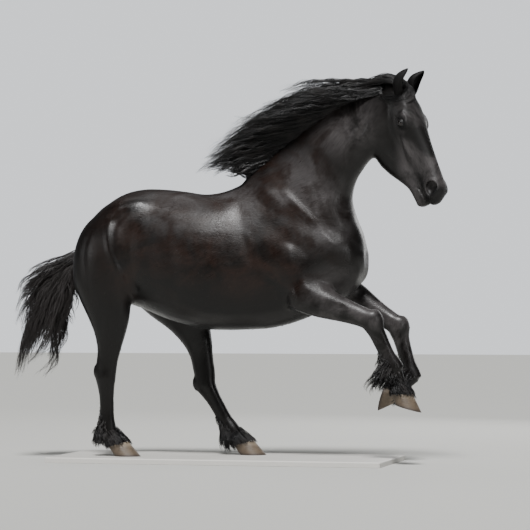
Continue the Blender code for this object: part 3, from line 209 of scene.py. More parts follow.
# Hind legs below the hock, in the same terms
HIND_JOINTS = {
    "right": {
        "hock": (-0.738, -0.150, 0.452),
        "fetlock": (-0.728, -0.140, 0.136),
        "coronet": (-0.672, -0.142, 0.064),
        "toe": (1.0, -0.06, 0.0),
    },
    "left": {
        "hock": (-0.245, 0.155, 0.405),
        "fetlock": (-0.080, 0.145, 0.132),
        "coronet": (-0.020, 0.147, 0.064),
        "toe": (1.0, 0.06, 0.0),
    },
}

# Sections along a limb: share of its length, front, back and side half sizes
FOREARM = (
    (-0.12, 0.080, 0.090, 0.078),
    (0.00, 0.098, 0.098, 0.082),
    (0.18, 0.100, 0.096, 0.076),
    (0.38, 0.084, 0.084, 0.066),
    (0.60, 0.068, 0.070, 0.055),
    (0.80, 0.058, 0.060, 0.049),
    (1.00, 0.058, 0.058, 0.050),
)
KNEE = (
    (-0.16, 0.056, 0.056, 0.050),
    (-0.04, 0.068, 0.062, 0.056),
    (0.08, 0.066, 0.064, 0.054),
    (0.20, 0.052, 0.056, 0.044),
)
FORE_CANNON = (
    (0.00, 0.058, 0.060, 0.048),
    (0.22, 0.045, 0.054, 0.038),
    (0.50, 0.039, 0.051, 0.033),
    (0.76, 0.039, 0.052, 0.035),
    (0.92, 0.049, 0.060, 0.042),
    (1.04, 0.050, 0.058, 0.043),
)
HIND_CANNON = (
    (-0.12, 0.050, 0.048, 0.040),
    (0.02, 0.056, 0.066, 0.046),
    (0.16, 0.048, 0.058, 0.040),
    (0.32, 0.041, 0.049, 0.034),
    (0.55, 0.038, 0.047, 0.031),
    (0.78, 0.038, 0.050, 0.033),
    (0.93, 0.047, 0.057, 0.040),
    (1.04, 0.048, 0.054, 0.042),
)
PASTERN = (
    (-0.10, 0.040, 0.046, 0.040),
    (0.30, 0.038, 0.038, 0.036),
    (0.65, 0.042, 0.040, 0.041),
    (1.00, 0.054, 0.046, 0.052),
    (1.14, 0.054, 0.046, 0.052),
)

# Haunch, thigh and gaskin: height, rear and front x, inner and outer y of a level section
HIND_UPPER = {
    "right": (
        (1.400, -0.760, -0.520, -0.040, -0.180),
        (1.300, -0.860, -0.470, -0.030, -0.252),
        (1.180, -0.915, -0.475, -0.020, -0.288),
        (1.060, -0.928, -0.520, -0.020, -0.292),
        (0.960, -0.920, -0.570, -0.030, -0.284),
        (0.870, -0.885, -0.592, -0.050, -0.268),
        (0.780, -0.842, -0.600, -0.072, -0.248),
        (0.690, -0.806, -0.622, -0.090, -0.224),
        (0.600, -0.790, -0.650, -0.105, -0.204),
        (0.520, -0.796, -0.672, -0.110, -0.194),
        (0.450, -0.800, -0.682, -0.108, -0.192),
    ),
    "left": (
        (1.400, -0.740, -0.480, 0.040, 0.180),
        (1.300, -0.820, -0.430, 0.030, 0.252),
        (1.180, -0.850, -0.400, 0.020, 0.290),
        (1.060, -0.830, -0.350, 0.020, 0.300),
        (0.960, -0.760, -0.290, 0.030, 0.300),
        (0.870, -0.672, -0.250, 0.050, 0.290),
        (0.790, -0.580, -0.228, 0.070, 0.272),
        (0.710, -0.466, -0.218, 0.088, 0.248),
        (0.630, -0.384, -0.206, 0.104, 0.222),
        (0.550, -0.336, -0.200, 0.112, 0.206),
        (0.470, -0.316, -0.188, 0.112, 0.202),
        (0.400, -0.296, -0.186, 0.110, 0.200),
    ),
}

# Point of the hock behind the joint: centre, then half sizes
HOCK_POINTS = {
    "right": ((-0.786, -0.150, 0.474), (0.030, 0.026, 0.050)),
    "left": ((-0.292, 0.155, 0.405), (0.030, 0.026, 0.050)),
}

# Masses that round out the trunk: centre, half sizes, turn about y in degrees
MASSES = (
    ((0.560, -0.110, 1.150), (0.130, 0.085, 0.140), -30),
    ((0.330, -0.170, 1.060), (0.170, 0.085, 0.200), -35),
    ((0.330, -0.110, 1.330), (0.130, 0.085, 0.260), -50),
    ((0.630, -0.070, 1.060), (0.085, 0.070, 0.110), 0),
    ((-0.640, -0.110, 1.340), (0.220, 0.130, 0.115), -22),
    ((0.570, 0.110, 1.160), (0.130, 0.085, 0.140), -30),
    ((0.370, 0.170, 1.080), (0.170, 0.085, 0.190), -30),
    ((0.340, 0.110, 1.340), (0.130, 0.085, 0.260), -50),
    ((0.640, 0.070, 1.060), (0.085, 0.070, 0.110), 0),
    ((-0.620, 0.110, 1.340), (0.220, 0.130, 0.115), -22),
)

# Muscles, grooves and bones under the skin, as seen from the side: which side, path of x and z,
# radius, height above the surface
BODY_RELIEF = (
    ("both", ((0.24, 1.58), (0.44, 1.40), (0.62, 1.24)), 0.050, -0.013),
    ("both", ((0.14, 1.45), (0.34, 1.30), (0.56, 1.17)), 0.090, 0.014),
    ("both", ((0.04, 1.38), (0.13, 1.14), (0.27, 0.93)), 0.055, -0.013),
    ("both", ((0.22, 1.17), (0.34, 1.02)), 0.120, 0.016),
    ("both", ((0.600, 1.150),), 0.065, 0.010),
    ("both", ((0.46, 1.22), (0.40, 1.10), (0.48, 0.98)), 0.040, -0.009),
    ("both", ((0.74, 1.66), (0.67, 1.50), (0.63, 1.36), (0.66, 1.25)), 0.035, -0.011),
    ("both", ((0.66, 1.70), (0.57, 1.50), (0.52, 1.32)), 0.055, 0.009),
    ("both", ((0.50, 1.86), (0.36, 1.66), (0.28, 1.52)), 0.070, 0.008),
    ("both", ((-0.500, 1.415),), 0.050, 0.014),
    ("both", ((-0.400, 1.300),), 0.100, -0.013),
    ("right", ((-0.53, 1.40), (-0.645, 1.27), (-0.655, 1.12), (-0.60, 0.96)), 0.045, 0.014),
    ("right", ((-0.46, 1.34), (-0.565, 1.23), (-0.575, 1.10), (-0.535, 0.94)), 0.050, -0.015),
    ("right", ((-0.77, 1.38), (-0.84, 1.20), (-0.82, 1.00), (-0.78, 0.84)), 0.030, -0.008),
    ("right", ((-0.600, 0.930), (-0.575, 0.870)), 0.025, 0.008),
    ("right", ((-0.74, 0.80), (-0.745, 0.64), (-0.76, 0.52)), 0.028, -0.008),
    ("left", ((-0.50, 1.40), (-0.37, 1.16), (-0.27, 0.90)), 0.055, 0.012),
    ("left", ((-0.42, 1.34), (-0.29, 1.12), (-0.19, 0.92)), 0.050, -0.012),
    ("left", ((-0.72, 1.36), (-0.75, 1.15), (-0.66, 0.95), (-0.48, 0.74)), 0.030, -0.008),
    ("left", ((-0.42, 0.72), (-0.33, 0.58), (-0.28, 0.48)), 0.028, -0.008),
)

# The same on the head, in its own frame
HEAD_RELIEF = (
    ("both", ((0.06, -0.16), (0.11, -0.23), (0.19, -0.29), (0.29, -0.29)), 0.030, 0.006),
    ("both", ((0.335, -0.075), (0.350, -0.150), (0.335, -0.240)), 0.022, -0.006),
    ("both", ((0.29, -0.046), (0.43, -0.072)), 0.016, 0.006),
    ("both", ((0.31, -0.078), (0.45, -0.102)), 0.024, -0.006),
    ("both", ((0.175, 0.000), (0.225, 0.020), (0.280, 0.006)), 0.022, 0.005),
    ("both", ((0.155, 0.026),), 0.022, -0.008),
    ("both", ((0.36, 0.020), (0.60, 0.030)), 0.024, -0.005),
    ("both", ((0.600, -0.146),), 0.020, -0.007),
    ("both", ((0.628, 0.030), (0.668, 0.026), (0.678, -0.004), (0.650, -0.022)), 0.016, 0.007),
)

# Grooves and swellings seen from the front (y, z) and from above (x, y)
BREAST_RELIEF = (
    (((0.0, 1.32), (0.0, 0.98)), 0.040, -0.015),
    (((-0.090, 1.13),), 0.080, 0.012),
    (((0.090, 1.13),), 0.080, 0.012),
)
BACK_RELIEF = ((((-0.80, 0.0), (-0.10, 0.0)), 0.040, -0.007),)

# Hoof: height at the toe and heel, then length and width at the ground and at the coronet
HOOF_TOE_HEIGHT = 0.082
HOOF_HEEL_HEIGHT = 0.050
HOOF_GROUND = (0.142, 0.132)
HOOF_CORONET = (0.106, 0.106)
HOOF_SLOPE = 0.052
HOOF_MIDDLE_HEIGHT = 0.064
HOOF_EDGE = 0.003
HOOF_ROOM = ((0.0, 0.16), (-0.11, 0.11), (-0.085, 0.085))
HOOF_POINTS = 48

# Mane: place along the crest counted from the poll, then the tip's x and z
MANE_TIPS = (
    (0.00, 0.400, 2.020),
    (0.10, 0.250, 1.960),
    (0.25, 0.080, 1.885),
    (0.38, -0.050, 1.795),
    (0.50, -0.150, 1.700),
    (0.62, -0.215, 1.620),
    (0.75, -0.165, 1.595),
    (0.88, -0.060, 1.600),
    (1.00, 0.010, 1.590),
)
MANE_ROOTS = (7.75, 0.95)
# Layers of the mane: locks, root y, tip y, lift at the root, half width, half thickness
MANE_LAYERS = (
    (14, 0.000, -0.010, -0.02, 0.037, 0.0090),
    (13, -0.042, -0.095, -0.42, 0.036, 0.0085),
    (8, 0.028, 0.085, -0.05, 0.035, 0.0085),
)
MANE_WAVE = (0.012, 0.17)

# Tail: the dock's line, then the ends of its locks in the order they leave it
DOCK = (
    (0.00, -0.850, 0.000, 1.200, 0.036),
    (0.30, -0.945, 0.000, 1.120, 0.050),
    (0.60, -1.040, 0.000, 0.990, 0.062),
    (0.85, -1.100, 0.000, 0.860, 0.056),
    (1.00, -1.130, 0.000, 0.780, 0.018),
)
TAIL_TIPS = (
    (0.00, -1.290, 0.930),
    (0.16, -1.300, 0.780),
    (0.34, -1.290, 0.640),
    (0.48, -1.262, 0.500),
    (0.58, -1.355, 0.425),
    (0.68, -1.190, 0.455),
    (0.78, -1.130, 0.580),
    (0.90, -1.070, 0.700),
    (1.00, -1.000, 0.820),
)
TAIL_LOCKS = 25
TAIL_SIZE = (0.047, 0.0130)
TAIL_SPREAD = 0.110
TAIL_WAVE = (0.014, 0.17)

# Forelock, in the head's frame: swept from the poll round the near ear
FORELOCK = (
    (0.012, 0.004, 0.030),
    (0.060, -0.012, 0.062),
    (0.108, -0.046, 0.062),
    (0.118, -0.082, 0.016),
    (0.092, -0.096, -0.050),
    (0.040, -0.096, -0.100),
    (-0.020, -0.090, -0.130),
)

# Share of the hide's faces kept, and how readily the body, the head and the face give theirs up
KEPT_FACES = 0.590
GIVEN_UP = (1.0, 0.6, 0.0)

# Share of the relief drawn for the solids that the finished hide keeps
RELIEF_SHARE = 0.42

# Fine relief that the solids leave out, seen from the side: side, path, radius, height
FINE_RELIEF = (
    ("right", ((-0.600, 1.370), (-0.655, 1.270), (-0.636, 1.120), (-0.545, 0.930)), 0.022, -0.0060),
    ("right", ((-0.640, 1.400), (-0.695, 1.290), (-0.672, 1.130), (-0.573, 0.915)), 0.020, 0.0065),
    ("right", ((-0.600, 0.865), (-0.560, 0.830), (-0.520, 0.860)), 0.016, -0.0030),
    ("right", ((-0.600, 0.840), (-0.560, 0.800), (-0.520, 0.830)), 0.016, 0.0024),
    ("both", ((-0.09, 1.085), (0.02, 1.060), (0.11, 1.070)), 0.016, 0.0018),
    ("both", ((-0.08, 1.045), (0.03, 1.020), (0.12, 1.035)), 0.016, 0.0018),
    ("both", ((-0.05, 1.010), (0.06, 0.988)), 0.014, 0.0012),
    ("both", ((0.30, 1.46), (0.47, 1.30), (0.58, 1.18)), 0.030, 0.0036),
    ("both", ((0.10, 1.24), (0.20, 1.05), (0.30, 0.93)), 0.030, 0.0036),
    ("both", ((0.46, 1.52), (0.50, 1.38), (0.55, 1.26)), 0.020, -0.0030),
    ("both", ((0.750, 1.835), (0.712, 1.775), (0.685, 1.745), (0.652, 1.68), (0.660, 1.60)), 0.012, -0.0080),
    ("both", ((0.728, 1.845), (0.688, 1.780), (0.660, 1.740), (0.628, 1.68), (0.636, 1.60)), 0.012, 0.0055),
    ("both", ((0.72, 1.62), (0.685, 1.50), (0.655, 1.40)), 0.014, 0.0024),
    ("both", ((0.50, 1.78), (0.60, 1.62), (0.62, 1.48)), 0.040, 0.0024),
    ("both", ((-0.30, 0.86), (-0.10, 0.80), (0.10, 0.79), (0.26, 0.82)), 0.030, 0.0024),
    ("both", ((-0.34, 1.22), (-0.30, 1.00), (-0.32, 0.88)), 0.060, -0.0030),
    ("both", ((0.34, 1.16), (0.38, 1.02), (0.46, 0.93)), 0.026, 0.0030),
    ("right", ((0.49, 0.852), (0.57, 0.848), (0.65, 0.832)), 0.014, -0.0070),
    ("right", ((0.42, 0.862), (0.52, 0.822), (0.62, 0.798)), 0.020, 0.0045),
    ("right", ((0.398, 0.875), (0.410, 0.856)), 0.024, 0.0070),
    ("right", ((0.50, 0.965), (0.64, 0.890), (0.74, 0.830)), 0.018, 0.0024),
    ("right", ((0.820, 0.700), (0.862, 0.600), (0.890, 0.530)), 0.011, -0.0030),
    ("right", ((0.842, 0.710), (0.882, 0.610), (0.905, 0.540)), 0.010, 0.0018),
    ("left", ((0.56, 1.000), (0.68, 0.900), (0.80, 0.810)), 0.016, -0.0030),
    ("left", ((0.885, 0.660), (0.915, 0.560), (0.935, 0.480)), 0.011, -0.0030),
    ("right", ((-0.740, 0.400), (-0.738, 0.290), (-0.735, 0.180)), 0.011, -0.0030),
    ("right", ((-0.775, 0.620), (-0.770, 0.520)), 0.016, -0.0036),
    ("left", ((-0.205, 0.330), (-0.150, 0.240), (-0.105, 0.170)), 0.011, -0.0030),
    ("left", ((-0.345, 0.600), (-0.300, 0.500), (-0.275, 0.440)), 0.016, -0.0036),
    ("right", ((-0.80, 1.28), (-0.835, 1.12), (-0.80, 0.92)), 0.022, -0.0030),
    ("right", ((-0.66, 0.96), (-0.70, 0.80), (-0.73, 0.66)), 0.022, 0.0024),
)

# The same on the head, in its own frame: x down the face, z out of it
FINE_HEAD = (
    ("both", ((0.205, 0.012), (0.240, 0.026), (0.280, 0.012)), 0.026, 0.0072),
    ("left", ((0.215, 0.020), (0.245, 0.030), (0.275, 0.018)), 0.034, 0.0105),
    ("both", ((0.285, -0.052), (0.380, -0.066), (0.450, -0.076)), 0.010, 0.0018),
    ("both", ((0.295, -0.070), (0.390, -0.086), (0.460, -0.096)), 0.014, -0.0016),
    ("both", ((0.200, 0.022), (0.240, 0.032), (0.285, 0.020)), 0.007, -0.0018),
    ("both", ((0.195, 0.012), (0.235, 0.022), (0.280, 0.010)), 0.006, 0.0015),
    ("both", ((0.215, -0.044), (0.252, -0.050), (0.285, -0.036)), 0.006, -0.0015),
    ("both", ((0.225, -0.056), (0.262, -0.060), (0.292, -0.046)), 0.006, -0.0011),
    ("both", ((0.165, 0.018), (0.180, 0.004), (0.182, -0.014)), 0.007, -0.0018),
    ("both", ((0.300, 0.010), (0.380, -0.020), (0.440, -0.060)), 0.005, 0.0010),
    ("both", ((0.360, 0.020), (0.470, 0.020), (0.580, 0.026)), 0.007, 0.0010),
    ("both", ((0.440, -0.100), (0.520, -0.070), (0.600, -0.030)), 0.006, 0.0010),
    ("both", ((0.130, -0.080), (0.170, -0.170), (0.240, -0.240)), 0.010, 0.0013),
    ("both", ((0.300, -0.200), (0.360, -0.190), (0.420, -0.165)), 0.006, 0.0011),
    ("both", ((0.570, -0.060), (0.610, -0.072), (0.640, -0.080)), 0.007, -0.0017),
    ("both", ((0.596, -0.098), (0.612, -0.086), (0.605, -0.070)), 0.008, -0.0024),
    ("both", ((0.665, -0.040), (0.700, -0.044)), 0.014, 0.0014),
)
# Where the lips meet and the lips' own swell above and below
LIP_RADIUS = 0.0085
LIP_GROOVE = -0.0032
LIP_SWELL = 0.0004

# Eye: iris, pupil, bulge of the cornea and the rims of the lids
IRIS = 0.0155
PUPIL = (0.0085, 0.0040)
LID_RIM = 0.0020
LASHES = 34
LASH_LENGTH = 0.010

# Nostril's rim and depth
NOSTRIL_DEPTH = 0.034
NOSTRIL_RIM = 0.0060

# Hair: strands in each lock, thickness of a strand and the points along it
MANE_LAYER_LOCKS = (58, 52, 34)
MANE_STRANDS = 46
MANE_POINTS = 12
TAIL_HAIR_LOCKS = 84
TAIL_STRANDS = 73
# Hairs that fly back past this x are drawn in
TAIL_END = -1.26
TAIL_POINTS = 12
FEATHER_LOCKS = 190
FRINGE_LOCKS = 64
FEATHER_STRANDS = 12
FEATHER_POINTS = 6
FORELOCK_HAIR_LOCKS = 22
FORELOCK_STRANDS = 26
POLL_LOCKS = 30
POLL_STRANDS = 34
HAIR_RADIUS = 0.0012
UV_PATCH = 0.003

# Short coat that breaks the outline: tufts a piece, their length and how far they stand off
TUFTS = 4000
TUFT_LENGTH = 0.016
TUFT_RADIUS = 0.0006

# Hair paths: points of a plain path, how deep roots start and how high hair lies on the skin
LOCK_POINTS = 22
SUNK = 0.010
LYING = 0.006
FEATHER_REACH = {"fore": (0.120, 0.060), "hind": (0.045, 0.080)}

# Studio lights: name, place, what they face, size and power
LIGHTS = (
    ("long_light_above", (0.0, 0.9, 4.4), (0.0, 0.0, 1.2), (4.5, 1.2), 25.0),
    ("left_light", (-5.2, -4.2, 2.9), (0.5, 0.0, 1.5), (2.6, 2.0), 70.0),
    ("front_light", (5.2, -3.6, 2.4), (0.5, 0.0, 1.2), (1.6, 1.6), 60.0),
    ("far_light", (1.6, 4.8, 2.4), (0.1, 0.0, 1.2), (4.0, 2.5), 75.0),
)
# Daylight through a wide diffuser: where it comes from, its strength and the width of its disc
DAYLIGHT_FROM = (0.7, -3.5, 5.6)
DAYLIGHT = 5.4
DAYLIGHT_WIDTH = math.radians(15)

# A few locks of the forelock that lie down the forehead, in the head's frame
FORELOCK_DOWN = (
    (0.020, 0.004, 0.040),
    (0.070, 0.000, 0.064),
    (0.120, -0.020, 0.060),
    (0.160, -0.040, 0.045),
)

# Strength of the sky as a light, and of the pale backdrop that the camera sees
SKY_LIGHT = 0.08
SKY_SEEN = 1.30

# Places where a limb runs into the body that are eased further: centre, radius and rounds
EASED = (
    ((0.395, -0.180, 0.935), 0.180, 90),
    ((0.510, 0.180, 0.985), 0.180, 90),
    ((0.300, 0.000, 0.900), 0.140, 30),
    ((0.805, -0.165, 0.772), 0.095, 25),
    ((0.888, 0.165, 0.738), 0.095, 25),
)

# Fur on the ears: hairs an ear, their length and thickness
EAR_HAIRS = 2600
EAR_HAIR = (0.008, 0.0004)

# Middles of the greyer patches of painted sheen, which stand in for the coat's soft shine, on the neck's base,
# shoulder and haunch
PAINTED_SHEEN_SPOTS = (
    (0.36, -0.20, 1.52), (0.50, -0.22, 1.36), (0.36, 0.20, 1.52), (0.50, 0.22, 1.36),
    (0.62, -0.14, 1.86), (0.62, 0.10, 1.86),
    (0.62, -0.20, 0.85), (0.80, -0.20, 0.76), (0.72, 0.20, 0.86), (0.88, 0.20, 0.74),
    (-0.30, -0.22, 1.44), (0.00, -0.22, 1.44), (-0.30, 0.22, 1.44), (0.00, 0.22, 1.44),
)

# Places on the head painted darker than the face, in the head's frame: middle, inner and outer reach. Round the
# eyes and inside the nostrils this is painted shade; the poll round the ears' roots and the muzzle are simply
# darker
PAINTED_SHADE_AND_DARK_PLACES = (
    (EYE_CENTRE, 0.030, 0.052),
    ((0.025, -0.075, 0.085), 0.075, 0.105),
    ((0.705, -0.030, 0.005), 0.040, 0.085),
    (NOSTRIL, 0.028, 0.042),
)


def resample(rows, count):
    """Smooth rows between the given ones. The first column is the place along the piece."""
    rows = np.array(rows, float)
    place = rows[:, 0]
    slopes = np.gradient(rows, place, axis=0)
    at = np.linspace(place[0], place[-1], count)
    k = np.clip(np.searchsorted(place, at) - 1, 0, len(place) - 2)
    span = (place[k + 1] - place[k])[:, None]
    u = (at - place[k])[:, None] / span
    start, end = rows[k], rows[k + 1]
    leave, arrive = slopes[k] * span, slopes[k + 1] * span
    return (
        (2 * u**3 - 3 * u**2 + 1) * start
        + (u**3 - 2 * u**2 + u) * leave
        + (3 * u**2 - 2 * u**3) * end
        + (u**3 - u**2) * arrive
    )


def section(centre, side, up, width, rise, drop, power_up=2.0, power_down=2.0, count=RING_POINTS):
    """Points of a rounded section: width to each side, rise above the centre, drop below it."""
    centre, side, up = Vector(centre), Vector(side), Vector(up)
    points = []
    for k in range(count):
        angle = math.tau * k / count
        c, s = math.cos(angle), math.sin(angle)
        power = power_up if s > 0 else power_down
        across = width * math.copysign(abs(c) ** (2 / power), c)
        height = (rise if s > 0 else drop) * math.copysign(abs(s) ** (2 / power), s)
        points.append(centre + side * across + up * height)
    return points


def add_loft(bm, rings):
    """Skins closed rings of points and caps both ends."""
    rows = [[bm.verts.new(p) for p in ring] for ring in rings]
    for low, high in zip(rows, rows[1:]):
        for i in range(len(low)):
            j = (i + 1) % len(low)
            bm.faces.new((low[i], low[j], high[j], high[i]))
    bm.faces.new(list(reversed(rows[0])))
    bm.faces.new(rows[-1])


def add_ball(bm, centre, radii, turn=Matrix.Identity(4), detail=3):
    """An ellipsoid with its own axes turned by a matrix."""
    place = Matrix.Translation(centre) @ turn @ Matrix.Diagonal((*radii, 1.0))
    bmesh.ops.create_icosphere(bm, subdivisions=detail, radius=1.0, matrix=place)


def add_limb(bm, start, end, rows):
    """A stretch of leg from one joint to the next, with the bone's front turned up the leg's plane."""
    start, end = Vector(start), Vector(end)
    along = end - start
    front = along.cross(Vector((0, 1, 0))).normalized()
    side = front.cross(along).normalized()
    rings = []
    for share, ahead, behind, width in resample(rows, 14):
        rings.append(section(start + along * share, side, front, width, ahead, behind))
    add_loft(bm, rings)


def mesh_object(name, bm, material=None):
    """Closes a bmesh into a named object."""
    bmesh.ops.recalc_face_normals(bm, faces=bm.faces)
    mesh = bpy.data.meshes.new(name)
    bm.to_mesh(mesh)
    bm.free()
    made = bpy.data.objects.new(name, mesh)
    bpy.context.scene.collection.objects.link(made)
    if material:
        mesh.materials.append(material)
    return made


def applied(made):
    """Replaces an object's mesh by what its modifiers make of it."""
    bpy.context.view_layer.update()
    graph = bpy.context.evaluated_depsgraph_get()
    mesh = bpy.data.meshes.new_from_object(made.evaluated_get(graph))
    made.modifiers.clear()
    old, made.data = made.data, mesh
    bpy.data.meshes.remove(old)
    return made


def head_matrix():
    """Turns the head's own frame into the horse's."""
    ahead = Vector((math.cos(HEAD_TURN), -math.sin(HEAD_TURN), 0))
    down_face = ahead * math.sin(HEAD_LEAN) - Vector((0, 0, math.cos(HEAD_LEAN)))
    left = Vector((math.sin(HEAD_TURN), math.cos(HEAD_TURN), 0))
    out = down_face.cross(left)
    return Matrix.Translation(POLL) @ Matrix((down_face, left, out)).transposed().to_4x4()


def mirrored(point, side):
    """The right side's point, or its twin on the left."""
    return Vector((point[0], point[1] if side == "right" else -point[1], point[2]))


def add_trunk(bm):
    rings = []
    for x, top, widest, bottom, width, power_up, power_down in resample(TRUNK, LOFT_RINGS):
        rings.append(
            section((x, 0, widest), (0, 1, 0), (0, 0, 1), width, top - widest, widest - bottom,
                    power_up, power_down)
        )
    add_loft(bm, rings)
    for centre, radii, degrees in MASSES:
        add_ball(bm, centre, radii, Matrix.Rotation(math.radians(degrees), 4, "Y"))


def add_neck(bm):
    rows = [(k, *row) for k, row in enumerate(NECK)]
    rings = []
    for row in resample(rows, LOFT_RINGS):
        crest, throat = Vector(row[1:4]), Vector(row[4:7])
        width, share, power = row[7:10]
        down = throat - crest
        centre = crest + down * share
        up = -down.normalized()
        side = Vector((0, 1, 0))
        side = (side - up * side.dot(up)).normalized()
        rise, drop = down.length * share, down.length * (1 - share)
        rings.append(section(centre, side, up, width, rise, drop, power, 2.1))
    add_loft(bm, rings)


def add_head(bm):
    head = bmesh.new()
    for rows in (SKULL, JAW):
        rings = []
        for x, top, widest, bottom, width, power_up, power_down in resample(rows, LOFT_RINGS):
            rings.append(
                section((x, 0, widest), (0, 1, 0), (0, 0, 1), width, top - widest,
                        widest - bottom, power_up, power_down)
            )
        add_loft(head, rings)
    for side in ("right", "left"):
        for centre, radii in HEAD_MASSES:
            add_ball(head, mirrored(centre, side), radii)
    bmesh.ops.recalc_face_normals(head, faces=head.faces)
    bmesh.ops.transform(head, matrix=head_matrix(), verts=head.verts)
    scrap = bpy.data.meshes.new("head_scrap")
    head.to_mesh(scrap)
    head.free()
    bm.from_mesh(scrap)
    bpy.data.meshes.remove(scrap)


def add_fore_leg(bm, joints):
    add_limb(bm, joints["elbow"], joints["knee"], FOREARM)
    add_limb(bm, joints["knee"], joints["fetlock"], KNEE)
    add_limb(bm, joints["knee"], joints["fetlock"], FORE_CANNON)
    add_limb(bm, joints["fetlock"], joints["coronet"], PASTERN)


def add_hind_leg(bm, side):
    joints = HIND_JOINTS[side]
    rings = []
    for z, rear, front, inner, outer in resample(
        [(-row[0], *row[1:]) for row in HIND_UPPER[side]], LOFT_RINGS
    ):
        centre = ((rear + front) / 2, (inner + outer) / 2, -z)
        half = (front - rear) / 2
        rings.append(
            section(centre, (0, 1, 0), (1, 0, 0), abs(outer - inner) / 2, half, half, 2.2, 2.2)
        )
    add_loft(bm, rings)
    add_ball(bm, *HOCK_POINTS[side])
    add_limb(bm, joints["hock"], joints["fetlock"], HIND_CANNON)
    add_limb(bm, joints["fetlock"], joints["coronet"], PASTERN)


def softness(points):
    """How much each place is blended: fully on the trunk, little on the head and lower legs."""
    x, z = points[:, 0], points[:, 2]
    fore = np.clip((z - 0.80) / 0.20, 0.0, 1.0)
    hind = np.clip((z - 0.45) / 0.35, 0.0, 1.0)
    leg = np.where(x > 0.35, fore, hind)
    poll = np.array(POLL)
    ahead = np.clip((x - 0.86 + 0.45 * (z - poll[2])) / 0.10, 0.0, 1.0) * (z > 1.3)
    return np.clip(np.minimum(leg, 1.0 - 0.80 * ahead), 0.22, 1.0)


def press(points, normals, across, up, facing, path, radius, height):
    """Raises or sinks the skin along a path drawn in one view of it."""
    spot = points[:, (across, up)]
    path = np.array(path if len(path) > 1 else [*path, *path], float)
    away = np.full(len(points), np.inf)
    for a, b in zip(path, path[1:]):
        span = b - a
        along = np.clip((spot - a) @ span / max(span @ span, 1e-12), 0.0, 1.0)
        away = np.minimum(away, np.linalg.norm(spot - a - along[:, None] * span, axis=1))
    fall = np.clip(1.0 - (away / radius) ** 2, 0.0, 1.0) ** 2
    return height * fall * np.sqrt(np.clip(facing, 0.0, 1.0))


def hoof_frame(joints):
    """Where a hoof's sole points its toe, its side and its up."""
    toe = Vector(joints["toe"]).normalized()
    side = Vector((0, 1, 0))
    side = (side - toe * side.dot(toe)).normalized()
    return toe, side, toe.cross(side)


def hoof_rim(joints, share, trim=0.0):
    """One ring of the hoof wall: share 0 is the coronet and 1 the sole."""
    toe, side, up = hoof_frame(joints)
    length = HOOF_CORONET[0] + (HOOF_GROUND[0] - HOOF_CORONET[0]) * share - 2 * trim
    width = HOOF_CORONET[1] + (HOOF_GROUND[1] - HOOF_CORONET[1]) * share - 2 * trim
    points = []
    for k in range(HOOF_POINTS):
        angle = math.tau * k / HOOF_POINTS
        c, s = math.cos(angle), math.sin(angle)
        reach = c * (1.0 + 0.16 * max(c, 0.0) ** 2)
        ahead = length / 2 * reach
        across = width / 2 * s * (1.0 - (0.12 * c * c if c < 0 else 0.0))
        if c < 0:
            ahead += 0.020 * share * math.exp(-((s / 0.26) ** 2))
        height = HOOF_HEEL_HEIGHT + (HOOF_TOE_HEIGHT - HOOF_HEEL_HEIGHT) * (reach + 1) / 2.16
        rise = (1 - share) * height - HOOF_MIDDLE_HEIGHT
        points.append(
            Vector(joints["coronet"]) + toe * (ahead + HOOF_SLOPE * share) + side * across
            + up * rise
        )
    return points


def surface_of(made):
    """A search tree over an object's faces."""
    bm = bmesh.new()
    bm.from_mesh(made.data)
    tree = BVHTree.FromBMesh(bm)
    bm.free()
    return tree


def eye_axes(side):
    """The way an eye looks, down the face and up across it, in the head's frame."""
    look = mirrored(EYE_LOOK, side).normalized()
    ahead = Vector(EYE_LINE)
    ahead = (ahead - look * ahead.dot(look)).normalized()
    return look, ahead, ahead.cross(look) * (1 if side == "left" else -1)


def ear(name, side):
    """A cup that opens forwards and outwards, narrowing to an inturned tip."""
    out = 1 if side == "left" else -1
    root, tip = mirrored(EAR_ROOT, side), mirrored(EAR_TIP, side)
    along = (tip - root).normalized()
    length = (tip - root).length
    ahead = Vector((0.55, 0.0, 0.84))
    ahead = (ahead - along * ahead.dot(along)).normalized()
    aside = along.cross(ahead) * (1 if along.cross(ahead).y * out > 0 else -1)
    face = ahead * math.cos(EAR_TURN[side]) + aside * math.sin(EAR_TURN[side])
    across = along.cross(face)
    rings = []
    for share, half, depth, opening in resample(EAR_SHAPE, EAR_RINGS):
        bend = face * (-0.014 * math.sin(math.pi * share))
        centre = root + along * (length * share) + bend
        wall = EAR_WALL * (1 - 0.65 * share)
        outer, inner = [], []
        for k in range(EAR_SIDE_POINTS):
            swing = math.radians(opening / 2) + k / (EAR_SIDE_POINTS - 1) * (
                math.tau - math.radians(opening)
            )
            c, s = math.cos(swing), math.sin(swing)
            outer.append(centre + face * (half * depth * c) + across * (half * s))
            inner.append(
                centre + face * ((half * depth - wall) * c) + across * ((half - wall) * s)
            )
        rings.append(outer + inner[::-1])
    bm = bmesh.new()
    add_loft(bm, rings)
    bmesh.ops.transform(bm, matrix=head_matrix(), verts=bm.verts)
    return mesh_object(name, bm)


def crest_point(place):
    """A point of the neck's crest, counted as the rows of NECK are."""
    rows = resample([(k, *row[:3]) for k, row in enumerate(NECK)], 81)
    return Vector(rows[min(80, max(0, round(place * 10)))][1:4])


def swept(start, leave, end, arrive, wave, phase, sideways, count=LOCK_POINTS):
    """Points from a root to a tip that leave and arrive in given ways, with a growing wave."""
    start, end = Vector(start), Vector(end)
    length = (end - start).length
    leave = Vector(leave).normalized() * length
    arrive = Vector(arrive).normalized() * length
    height, pitch = wave
    path = []
    for k in range(count):
        u = k / (count - 1)
        point = (
            start * (2 * u**3 - 3 * u**2 + 1)
            + leave * (u**3 - 2 * u**2 + u)
            + end * (3 * u**2 - 2 * u**3)
            + arrive * (u**3 - u**2)
        )
        swing = height * min(1.0, 1.6 * u) * math.sin(math.tau * u * length / pitch + phase)
        path.append(point + Vector(sideways) * swing)
    return path


